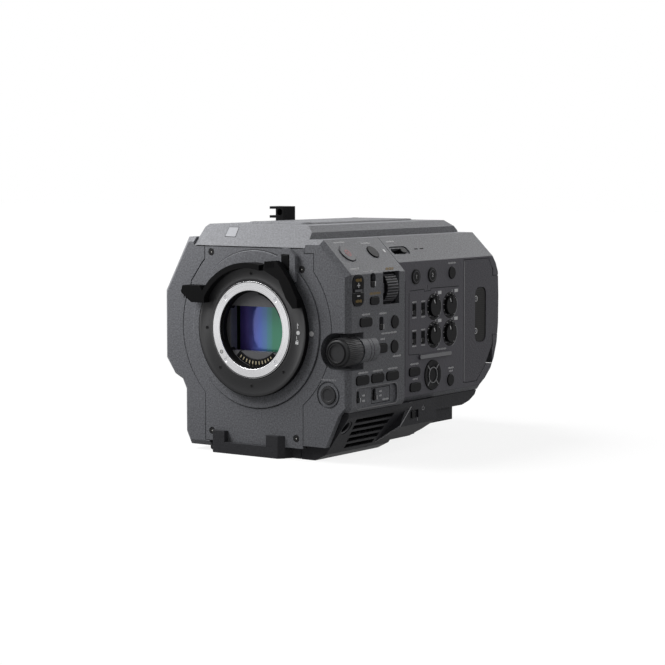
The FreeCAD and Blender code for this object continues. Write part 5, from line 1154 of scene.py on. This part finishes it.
@dataclass
class ControlSide(Part):
    """Printed marks, rocker windows and wheel and dial grips in front of the audio panel."""

    labels: tuple[Triple, ...] = (
        (6.1, 117.6, 9), (24.1, 115.6, 4), (18.1, 89.6, 9), (36.4, 89.2, 8), (43.4, 76.8, 17),
        (36.2, 73.4, 5), (52.1, 61.9, 9), (15.2, 54.5, 11), (30.9, 54.5, 11), (47.5, 54.6, 11),
        (15.6, 40.6, 3), (15.6, 37.4, 3), (33.9, 41.6, 3), (33.9, 39, 3), (39.6, 36.3, 7),
    )
    amber_labels: tuple[Triple, ...] = ((43.6, 116.2, 9), (27.9, 101.9, 12))
    brackets: tuple[tuple[Point, Point], ...] = (
        ((14.5, 115.6), (20.6, 115.5)), ((27.0, 115.2), (32.0, 115.0)))
    knobs: tuple[tuple[str, float], ...] = (
        ("nd_mode_switch", 0.9), ("focus_switch", 0.4), ("gain_switch", 0.5), ("white_switch", 0.5))
    rocker: Triple = (9.6, 104.4, 4.9)
    wheel_axis: Triple = (60.6, -15.5, 104.4)
    wheel_radius: float = 10.9
    dial_axis: Triple = (65, -61, 67.8)
    dial_radius: float = 8.55
    switch_field: tuple[float, float, float, float] = (30.3, 39.2, 45.4, 12.8)
    field_face: float = 68.5
    wheel_ribs: int = 38
    dial_ribs: int = 44

    def build(self) -> None:
        """Make the pieces of the control side."""
        marks = Draft().legends(CONTROL, self.labels)
        for run in self.brackets:
            marks.stroke(CONTROL.at(), run, 0.25)
        self.put("control_side_marks", marks, Coat.WHITE)
        self.bezel()
        self.collar_lines()
        amber = Draft().legends(CONTROL, self.amber_labels, 1.7)
        self.put("control_side_amber_marks", amber, Coat.AMBER)
        self.dress_rocker()
        self.switch_marks()
        self.grips()
        self.dial_face()

    def dress_rocker(self) -> None:
        """Smoked windows, amber ticks and white signs on the rocker's two ends, and its grey middle."""
        along, up, apart = self.rocker
        surface = control_face(box("nd_rocker")[1].x)
        windows, signs, ticks = Draft(), Draft(), Draft()
        for side in (1, -1):
            windows.plate(surface.at(along, up + side * apart), rounded(8.4, 6.6, 1.0), -0.3, 0.03)
            inner = surface.at(along, up + side * (apart - 1.7))
            signs.plate(inner, rounded(3.0, 0.7, 0.2), 0.0, 0.09)
            if side > 0:
                signs.plate(inner, rounded(0.7, 3.0, 0.2), 0.0, 0.09)
            ticks.legend(surface, along, up + side * (apart + 1.4), 6.5, 1.9)
        middle = Draft().plate(surface.at(along, up), rounded(7.6, 1.5, 0.4), -0.6, 0.05)
        self.put("nd_rocker_windows", windows, Coat.DARK, "nd_rocker")
        self.put("nd_rocker_signs", signs, Coat.WHITE, "nd_rocker")
        self.put("nd_rocker_ticks", ticks, Coat.AMBER, "nd_rocker")
        self.put("nd_rocker_middle", middle, Coat.KEY_GREY, "nd_rocker")

    def bezel(self) -> None:
        """Light worn border of the switch field, and the darker frame inside it."""
        along, up, wide, tall = self.switch_field
        around = rounded(wide, tall, 2.6)
        border = Draft().stroke(CONTROL.at(along, up), [*around, around[0]], 0.5)
        self.put("switch_field_border", border, Coat.EDGE)
        inner = Draft().frame(control_face(self.field_face), along + 6.0, up, 20.0, tall - 3.4, 0.4)
        self.put("switch_field_frame", inner, Coat.DARK)

    def collar_lines(self) -> None:
        """Two turned grooves round the collar behind the function dial."""
        grooves = Draft()
        for depth in (-25.4, -28.6):
            grooves.lathe(front_face(self.dial_axis).at(), band(8.4, 8.64, depth, depth + 0.35), 64)
        self.put("dial_collar_grooves", grooves, Coat.DARK)

    def switch_marks(self) -> None:
        """White edge on each slide knob."""
        for node, width in self.knobs:
            low, high = box(node)
            knob = control_face(high.x).at(high.y - FRONT_Y - width, (low.z + high.z) / 2)
            edge = Draft().plate(knob, rounded(width, (high.z - low.z) * 0.9, 0.15), -0.2, 0.06)
            self.put(node + "_edge", edge, Coat.WHITE, self.bench.body_of(node))

    def grips(self) -> None:
        """Ribs round the wheel, in a lighter grey that is painted highlight, and fine knurling round the
        function dial.
        """
        wheel, dial = front_face(self.wheel_axis).at(), front_face(self.dial_axis).at()
        rib = Draft().plate(FLAT, rounded(0.7, 0.95, 0.3, 3), -12.1, -0.3)
        # The wheel's ribs are lighter grey than the wheel: painted highlight on their crests.
        self.repeat("nd_wheel_ribs_painted_highlight", rib, Coat.KEY_GREY, wheel, Layout.RING, self.wheel_ribs,
                    360 / self.wheel_ribs, self.wheel_radius - 0.2, body="nd_wheel")
        knurl = Draft().plate(FLAT, rounded(0.5, 0.75, 0.2, 2), -11.5, -2.2)
        self.repeat("function_dial_knurl", knurl, Coat.REAR, dial, Layout.RING, self.dial_ribs,
                    360 / self.dial_ribs, self.dial_radius - 0.05, body="function_dial")

    def dial_face(self) -> None:
        """Rings on the pressed face of the function dial."""
        section = [(5.6, -0.2), (7.0, -0.2), (6.9, 0.1), (6.6, 0.3), (6.1, 0.3), (5.8, 0.05)]
        rings = Draft().lathe(front_face(self.dial_axis).at(), section, 48)
        self.put("function_dial_ring", rings, Coat.KEY, "function_dial")


@dataclass
class AudioSide(Part):
    """Dial scales, switch marks, key digits and engraved lines of the audio panel."""

    dials: tuple[tuple[str, float, float], ...] = (
        ("audio_dial_1", 102.9, 89.2), ("audio_dial_2", 122.2, 89.2),
        ("audio_dial_3", 102.9, 71.2), ("audio_dial_4", 122.2, 71.2))
    tags: tuple[Point, ...] = ((109.6, 97.9), (129.8, 98.2), (109.7, 79.9), (129.6, 80.1))
    switches: tuple[Point, ...] = ((79.6, 88.5), (90, 88.5), (79.6, 70.5), (90, 70.5))
    keys: tuple[tuple[str, str, float, float], ...] = (
        ("assign_button_1", "1", 81.2, 109.3), ("assign_button_2", "2", 100.2, 109.6))
    labels: tuple[Triple, ...] = (
        (124.4, 116.3, 10), (112.4, 61.4, 11), (79.9, 54.2, 10), (80.9, 44.6, 6), (123.7, 48.2, 7),
        (123.7, 46.2, 5))
    lines: tuple[tuple[Point, ...], ...] = (
        ((74.3, 100.6), (91.2, 101.0), (91.2, 99.6), (99.0, 99.8), (99.0, 101.2), (133.0, 100.9)),
        ((95.0, 101.0), (95.0, 103.4)), ((73.4, 60.4), (85.4, 60.0)),
        ((69.2, 41.0), (69.0, 107.0)), ((73.6, 99.4), (73.4, 60.4)))
    scale_radius: float = 7.7
    rim_radius: float = 5.95
    rim_ribs: int = 32
    pad: Point = (101.4, 45.5)
    ridge: Point = (104, 58.1)
    ridge_rise: float = 1.2

    def build(self) -> None:
        """Make the pieces of the audio side."""
        marks = Draft().legends(AUDIO, self.labels)
        for number, (along, up) in enumerate(self.tags):
            marks.plate(AUDIO.at(along, up), rounded(4.2, 2.1, 0.3), SUNK, 0.06)
            marks.glyph(AUDIO.at(along - 5, up), str(number + 1), 1.7)
        for along, up in self.switches:
            marks.legend(AUDIO, along, up + 4.9, 5, 1.0)
            marks.legend(AUDIO, along, up - 5.0, 5, 1.0)
        self.put("audio_side_marks", marks, Coat.WHITE)
        self.dress_dials()
        self.dress_switches()
        self.dress_keys()
        self.engraving()
        self.dress_pad()
        # Lighter strip on top of the ridge: painted highlight of its lit top face.
        ridge_highlight = Draft().plate(AUDIO.at(*self.ridge), rounded(37.4, 2.4, 1.1), self.ridge_rise - 0.3,
                              self.ridge_rise + 0.04)
        self.put("audio_ridge_painted_highlight", ridge_highlight, Coat.EDGE)

    def dress_dials(self) -> None:
        """Black collar with a dotted scale round each dial, a painted highlight arc at the lower right of
        its well, a ribbed rim and a pointer on the dial.
        """
        section = [(7.0, -0.4), (8.6, -0.4), (8.6, 0.02), (8.4, 0.1), (7.1, 0.1), (7.0, 0.0)]
        for node, along, up in self.dials:
            seat = AUDIO.at(along, up)
            self.put(node + "_collar", Draft().lathe(seat, section, 48), Coat.KEY)
            dot = Draft().plate(FLAT, circle(0.3, 8), SUNK, 0.16)
            self.repeat(node + "_scale", dot, Coat.WHITE, seat, Layout.RING, 11, 28,
                        self.scale_radius, -50)
            # Pale arc on the lower right of each well: painted highlight where a lit bevel would catch the
            # light.
            light = Draft().lathe(seat, ring_line(8.95, 0.5), 24, -75, 100)
            self.put(node + "_bevel", light, Coat.EDGE)
            top = control_face(box(node)[1].x)
            pointer = Draft().plate(top.at(along - 1.6, up + 3.4, 25), rounded(0.8, 2.6, 0.3), -0.2, 0.06)
            self.put(node + "_pointer", pointer, Coat.WHITE, node)
            rib = Draft().plate(FLAT, rounded(0.5, 0.6, 0.2, 2), -1.4, -0.15)
            self.repeat(node + "_ribs", rib, Coat.KEY, top.at(along, up), Layout.RING, self.rim_ribs,
                        360 / self.rim_ribs, self.rim_radius, body=node)

    def dress_switches(self) -> None:
        """Dark surround of each slot and a pale edge on its knob."""
        for number, (along, up) in enumerate(self.switches):
            node = f"audio_switch_{number + 1}"
            dark = Draft().frame(AUDIO, along, up, 3.9, 7.5, 0.5)
            self.put(node + "_surround", dark, Coat.DARK)
            low, high = box(node)
            knob = control_face(high.x).at(low.y - FRONT_Y + 0.35, (low.z + high.z) / 2)
            edge = Draft().plate(knob, rounded(0.4, (high.z - low.z) * 0.8, 0.1), -0.2, 0.06)
            self.put(node + "_edge", edge, Coat.PALE, node)

    def dress_keys(self) -> None:
        """Digits and dished rings on the two assignable buttons."""
        for node, digit, along, up in self.keys:
            top = control_face(box(node)[1].x).at(along, up)
            self.put(node + "_digit", Draft().glyph(top, digit, 2.4), Coat.WHITE, node)
            ring = Draft().lathe(top, ring_line(3.5, 0.35, -0.2, 0.06), 32)
            self.put(node + "_ring", ring, Coat.KEY_GREY, node)
            rim = Draft().lathe(AUDIO.at(along, up), ring_line(5.1, 0.5, -0.3, 0.04), 32)
            self.put(node + "_seat", rim, Coat.KEY_GREY)

    def engraving(self) -> None:
        """Fine dark lines that part the panel into fields."""
        grooves = Draft()
        for run in self.lines:
            grooves.stroke(AUDIO.at(), run, 0.4, SUNK, 0.03)
        self.put("audio_panel_lines", grooves, Coat.DARK)

    def dress_pad(self) -> None:
        """Grey spokes between the four petals of the pad, and the rim of its centre."""
        top = control_face(box("pad_ring")[1].x)
        spokes = Draft()
        for turn in (45, 135, 225, 315):
            way = math.radians(turn)
            middle = (self.pad[0] + 7.0 * math.cos(way), self.pad[1] + 7.0 * math.sin(way))
            spokes.plate(top.at(*middle, turn), rounded(4.2, 0.8, 0.3), -0.3, 0.05)
        spokes.lathe(top.at(*self.pad), ring_line(4.9, 0.6, -0.3, 0.06), 48)
        self.put("pad_spokes", spokes, Coat.EDGE, "pad_ring")


@dataclass
class MediaDoor(Part):
    """Smoked window, ringed lamps, painted highlight along the front edge and hinge washers of the media
    door.
    """

    window: Point = (160.7, 80.6)
    wide: float = 13.4
    tall: float = 36.0
    lamps: tuple[Point, ...] = ((155.6, 91.4), (155.4, 70.0))
    hinge: Point = (62.8, 126.4)
    washer_levels: tuple[float, ...] = (66.0, 105.6)

    def build(self) -> None:
        """Dress the door."""
        glass = Draft().plate(AUDIO.at(*self.window), rounded(self.wide, self.tall, 5.6, 10), -1.3, -0.45)
        self.put("door_window", glass, Coat.WINDOW, "media_door")
        rings, lenses = Draft(), Draft()
        for place in self.lamps:
            rings.lathe(AUDIO.at(*place), ring_line(1.7, 0.5, -0.5, -0.38), 24)
            lenses.plate(AUDIO.at(*place), circle(0.8, 16), -0.5, -0.36)
        self.put("door_lamp_rings", rings, Coat.WHITE, "media_door")
        self.put("door_lamp_lenses", lenses, Coat.LAMP, "media_door")
        # Pale line down the door's front seam: painted highlight of the lit edge.
        edge = Draft().stroke(AUDIO.at(), [(140.1, 38.2), (140.0, 116.8)], 0.6, -0.3, 0.04)
        self.put("door_front_edge_highlight", edge, Coat.PALE, "media_door")
        washers = Draft()
        for level in self.washer_levels:
            knuckle = Face((*self.hinge, level), (1, 0, 0), (0, 1, 0))
            washers.lathe(knuckle.at(), band(1.1, 2.4, 0.03, 0.37), 24)
        self.put("door_hinge_washers", washers, Coat.REAR)


@dataclass
class BaseAndFoot(Part):
    """Painted highlight along the front corner edge, power marks, strap eye and thread bushes of the base.
    """

    side: float = 65.5
    highlight_run: tuple[Triple, ...] = ((65.5, 20.4, 27.4), (65.5, 7.6, 16.4), (51.6, 0.9, 6.4))
    strap_eye: Triple = (61.0, -45.6, 21.0)
    bushes: tuple[Point, ...] = ((0.0, 3.175), (20.0, 4.76))

    def build(self) -> None:
        """Dress the base."""
        # Pale strip along the front corner edge of the base: painted highlight where the edge catches the
        # light.
        edge = Draft()
        for start, end in zip(self.highlight_run, self.highlight_run[1:]):
            here, there = Vector(start), Vector(end)
            along = there - here
            run = Face(tuple((here + there) / 2), tuple(along), tuple(along.cross(Vector((1, 0, 0)))))
            edge.plate(run.at(), rounded(along.length + 0.4, 0.7, 0.3, 3), -0.3, 0.3)
        self.put("base_edge_painted_highlight", edge, Coat.PALE)
        side = control_face(self.side)
        marks = Draft().lathe(side.at(89.6, 25.4), ring_line(1.3, 0.35), 20, 125, 290)
        marks.plate(side.at(89.6, 26.5), rounded(0.35, 1.7, 0.1, 2), SUNK, 0.05)
        marks.plate(side.at(83.0, 18.9), rounded(0.4, 1.8, 0.1, 2), SUNK, 0.05)
        self.put("power_marks", marks, Coat.PALE)
        eye = Draft().lathe(Face(self.strap_eye, (0, 1, 0), (17, 0, 27)).at(),
                            [(4.0, -0.8), (4.5, -0.8), (4.5, 0.0), (4.25, 0.15), (4.0, 0.0)], 40)
        self.put("strap_eye_rim", eye, Coat.EDGE)
        rings = Draft()
        for along, radius in self.bushes:
            rings.lathe(UNDER.at(0, along), band(radius + 0.05, radius + 1.3, -1.0, -0.02), 48)
        self.put("tripod_bushes", rings, Coat.NICKEL)


@dataclass
class GripSide(Part):
    """Screws, panel line and rosette teeth of the grip side."""

    screw_places: tuple[Point, ...] = ((11, 94), (11, 63), (161, 94), (161, 63))
    rosette: Point = (81, 75)
    rosette_rise: float = 2.5
    teeth: int = 40

    def build(self) -> None:
        """Dress the grip side."""
        self.screws(GRIP, self.screw_places, "grip_cover_screws", "grip_cover_sockets")
        outline = rounded(138, 36, 5)
        line = Draft().stroke(GRIP.at(84, AXIS_Z), [*outline, outline[0]], 0.5, -0.1, 0.03)
        self.put("grip_cover_line", line, Coat.DARK)
        tooth = Draft().plate(FLAT, rounded(5.6, 0.6, 0.25, 2), self.rosette_rise - 0.3,
                              self.rosette_rise + 0.015)
        self.repeat("rosette_grooves", tooth, Coat.DARK, GRIP.at(*self.rosette), Layout.RING,
                    self.teeth, 360 / self.teeth, 10.4)


@dataclass
class RearEnd(Part):
    """Screws, plug inserts, battery contacts and marks of the rear cover."""

    screw_places: tuple[Point, ...] = ((-36, 126), (46, 126), (62, 94), (62, 64), (-48, 47), (48, 22))
    plug_levels: tuple[float, ...] = (62, 82, 102)
    plug_x: float = 44.0
    latch: Point = (26, 108)
    contact_top: float = 54.0
    bay_wall: float = 134.0

    def build(self) -> None:
        """Dress the rear."""
        self.screws(REAR, self.screw_places, "rear_cover_screws", "rear_cover_sockets")
        inserts, lugs, marks = Draft(), Draft(), Draft()
        for level in self.plug_levels:
            inserts.lathe(REAR.at(-self.plug_x, level), band(0.85, 3.5, 1.6, 6.0), 32)
            barrel = Face((self.plug_x, 136, level), (0, 1, 0), (0, 0, 1)).at()
            for low, high in ((4.5, 5.7), (-5.7, -4.5)):
                lugs.plate(barrel, circle(0.9, 12), low, high)
            marks.legend(REAR, -31, level, 5, 1.0)
        marks.legend(REAR, -self.latch[0], self.latch[1] - 8, 6, 1.0)
        self.put("plug_insulators", inserts, Coat.PALE)
        self.put("plug_bayonet_lugs", lugs, Coat.NICKEL)
        self.put("rear_marks", marks, Coat.PALE)
        ring = Draft().lathe(REAR.at(-self.latch[0], self.latch[1]), ring_line(5.0, 0.6), 32)
        self.put("latch_ring", ring, Coat.DARK)
        self.bay()

    def bay(self) -> None:
        """Gold tips of the battery contacts and the line of the bay's back wall."""
        tips = Draft()
        for number in range(4):
            top = Face((-16 + 5 * number, 153, self.contact_top), (1, 0, 0), (0, 1, 0))
            tips.plate(top.at(), rounded(1.5, 7.4, 0.5, 3), -0.4, 0.06)
        self.put("battery_contact_tips", tips, Coat.GOLD)
        wall = Draft().frame(Face((-15, self.bay_wall, 84), (-1, 0, 0), (0, 0, 1)), 0, 0, 50, 54, 0.6)
        self.put("battery_bay_line", wall, Coat.DARK)


@dataclass
class Studio:
    """Pale floor, soft lamps and the camera of the reference view."""

    place: Triple = (738.96, -1021.26, 179.18)
    pitch: float = 4.827
    azimuth: float = 35.17
    lens: float = 107.12
    sky: float = 0.16
    suns: tuple[tuple[str, Triple, float], ...] = (
        ("key_sun", (-0.6, -0.1, 0.79), 2.15),
        ("side_sun", (0.86, -0.1, 0.5), 0.44),
        ("left_sun", (-0.85, 0.35, 0.4), 0.4),
        ("back_sun", (0.1, 0.85, 0.52), 0.7),
    )
    softness: float = 24.0
    softbox: Triple = (-175.0, -205.0, 265.0)
    softbox_size: float = 170.0
    softbox_power: float = 0.8
    floor_reach: float = 6000.0
    floor_lift: float = 0.86
    floor_gleam: float = 0.5

    def build(self) -> None:
        """Make floor, world, lamps and camera."""
        self.floor()
        self.world()
        for name, towards, power in self.suns:
            self.lamp(name, towards, power)
        self.front_softbox()
        self.camera()

    def floor(self) -> None:
        """A wide pale floor just under the base, white to the camera."""
        reach = self.floor_reach
        square = [(-reach, -reach), (reach, -reach), (reach, reach), (-reach, reach)]
        mesh = Draft().plate(FLAT, square, -12, -0.02).done("studio_floor")
        floor = link("studio_floor", mesh)
        material = bpy.data.materials.new("floor_matt_paper")
        tree = empty_tree(material)
        matt = add_node(tree, "ShaderNodeBsdfDiffuse", inputs={"Color": linear("#6e6e6e")})
        path = add_node(tree, "ShaderNodeLightPath").outputs
        gleam = add_node(tree, "ShaderNodeMath", {"operation": "MULTIPLY"},
                         {0: path["Is Glossy Ray"], 1: self.floor_gleam})
        level = add_node(tree, "ShaderNodeMath", {"operation": "MULTIPLY_ADD"},
                         {0: path["Is Camera Ray"], 1: self.floor_lift, 2: gleam.outputs["Value"]})
        lift = add_node(tree, "ShaderNodeEmission", inputs={"Strength": level.outputs["Value"]})
        both = add_node(tree, "ShaderNodeAddShader",
                        inputs={0: matt.outputs["BSDF"], 1: lift.outputs["Emission"]})
        add_node(tree, "ShaderNodeOutputMaterial", inputs={"Surface": both.outputs["Shader"]})
        mesh.materials.append(material)

    def world(self) -> None:
        """White to camera, gloss and glass; a lower even level for the light itself."""
        world = bpy.data.worlds.new("studio_world")
        bpy.context.scene.world = world
        tree = empty_tree(world)
        path = add_node(tree, "ShaderNodeLightPath").outputs
        seen = path["Is Camera Ray"]
        for extra in ("Is Glossy Ray", "Is Transmission Ray"):
            seen = add_node(tree, "ShaderNodeMath", {"operation": "MAXIMUM"},
                            {0: seen, 1: path[extra]}).outputs["Value"]
        level = add_node(tree, "ShaderNodeMapRange",
                         inputs={"Value": seen, "To Min": self.sky, "To Max": 1.0})
        back = add_node(tree, "ShaderNodeBackground",
                        inputs={"Color": (1, 1, 1, 1), "Strength": level.outputs["Result"]})
        add_node(tree, "ShaderNodeOutputWorld", inputs={"Surface": back.outputs["Background"]})

    def lamp(self, name: str, towards: Sequence[float], power: float) -> None:
        """Hang a soft distant lamp.

        Args:
            name: The lamp's name.
            towards: Direction from the camera body to the lamp.
            power: Its strength.
        """
        light = bpy.data.lights.new(name, "SUN")
        light.angle = math.radians(self.softness)
        light.energy = power
        holder = link(name, light)
        holder.rotation_euler = (-Vector(towards)).to_track_quat("-Z", "Y").to_euler()

    def front_softbox(self) -> None:
        """Hang a near square lamp over the front, so its light falls off towards the foot."""
        light = bpy.data.lights.new("front_softbox", "AREA")
        light.size = self.softbox_size * MM
        light.energy = self.softbox_power
        holder = link("front_softbox", light)
        spot = Vector(self.softbox)
        holder.location = spot * MM
        holder.rotation_euler = (Vector((0, FRONT_Y, 100)) - spot).to_track_quat("-Z", "Y").to_euler()
        holder.visible_camera = False

    def camera(self) -> None:
        """Put the camera where the reference view was taken from."""
        data = bpy.data.cameras.new("view_camera")
        data.lens = self.lens
        data.sensor_width = 36.0
        data.clip_start = 0.05
        data.clip_end = 20.0
        camera = link("view_camera", data)
        camera.location = Vector(self.place) * MM
        camera.rotation_euler = (math.radians(90 - self.pitch), 0, math.radians(self.azimuth))
        bpy.context.scene.camera = camera


def main() -> None:
    """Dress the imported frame."""
    logging.basicConfig(level=logging.INFO, format="%(name)s %(message)s")
    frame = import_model()
    bpy.context.scene.view_settings.view_transform = "Standard"
    Studio().build()
    bench = Bench(frame)
    for part in (Covers, LensMount, FrontAndRoof, ButtonSlope, ControlSide, AudioSide, MediaDoor,
                 BaseAndFoot, GripSide, RearEnd):
        part(bench).build()


if __name__ == "__main__":
    main()
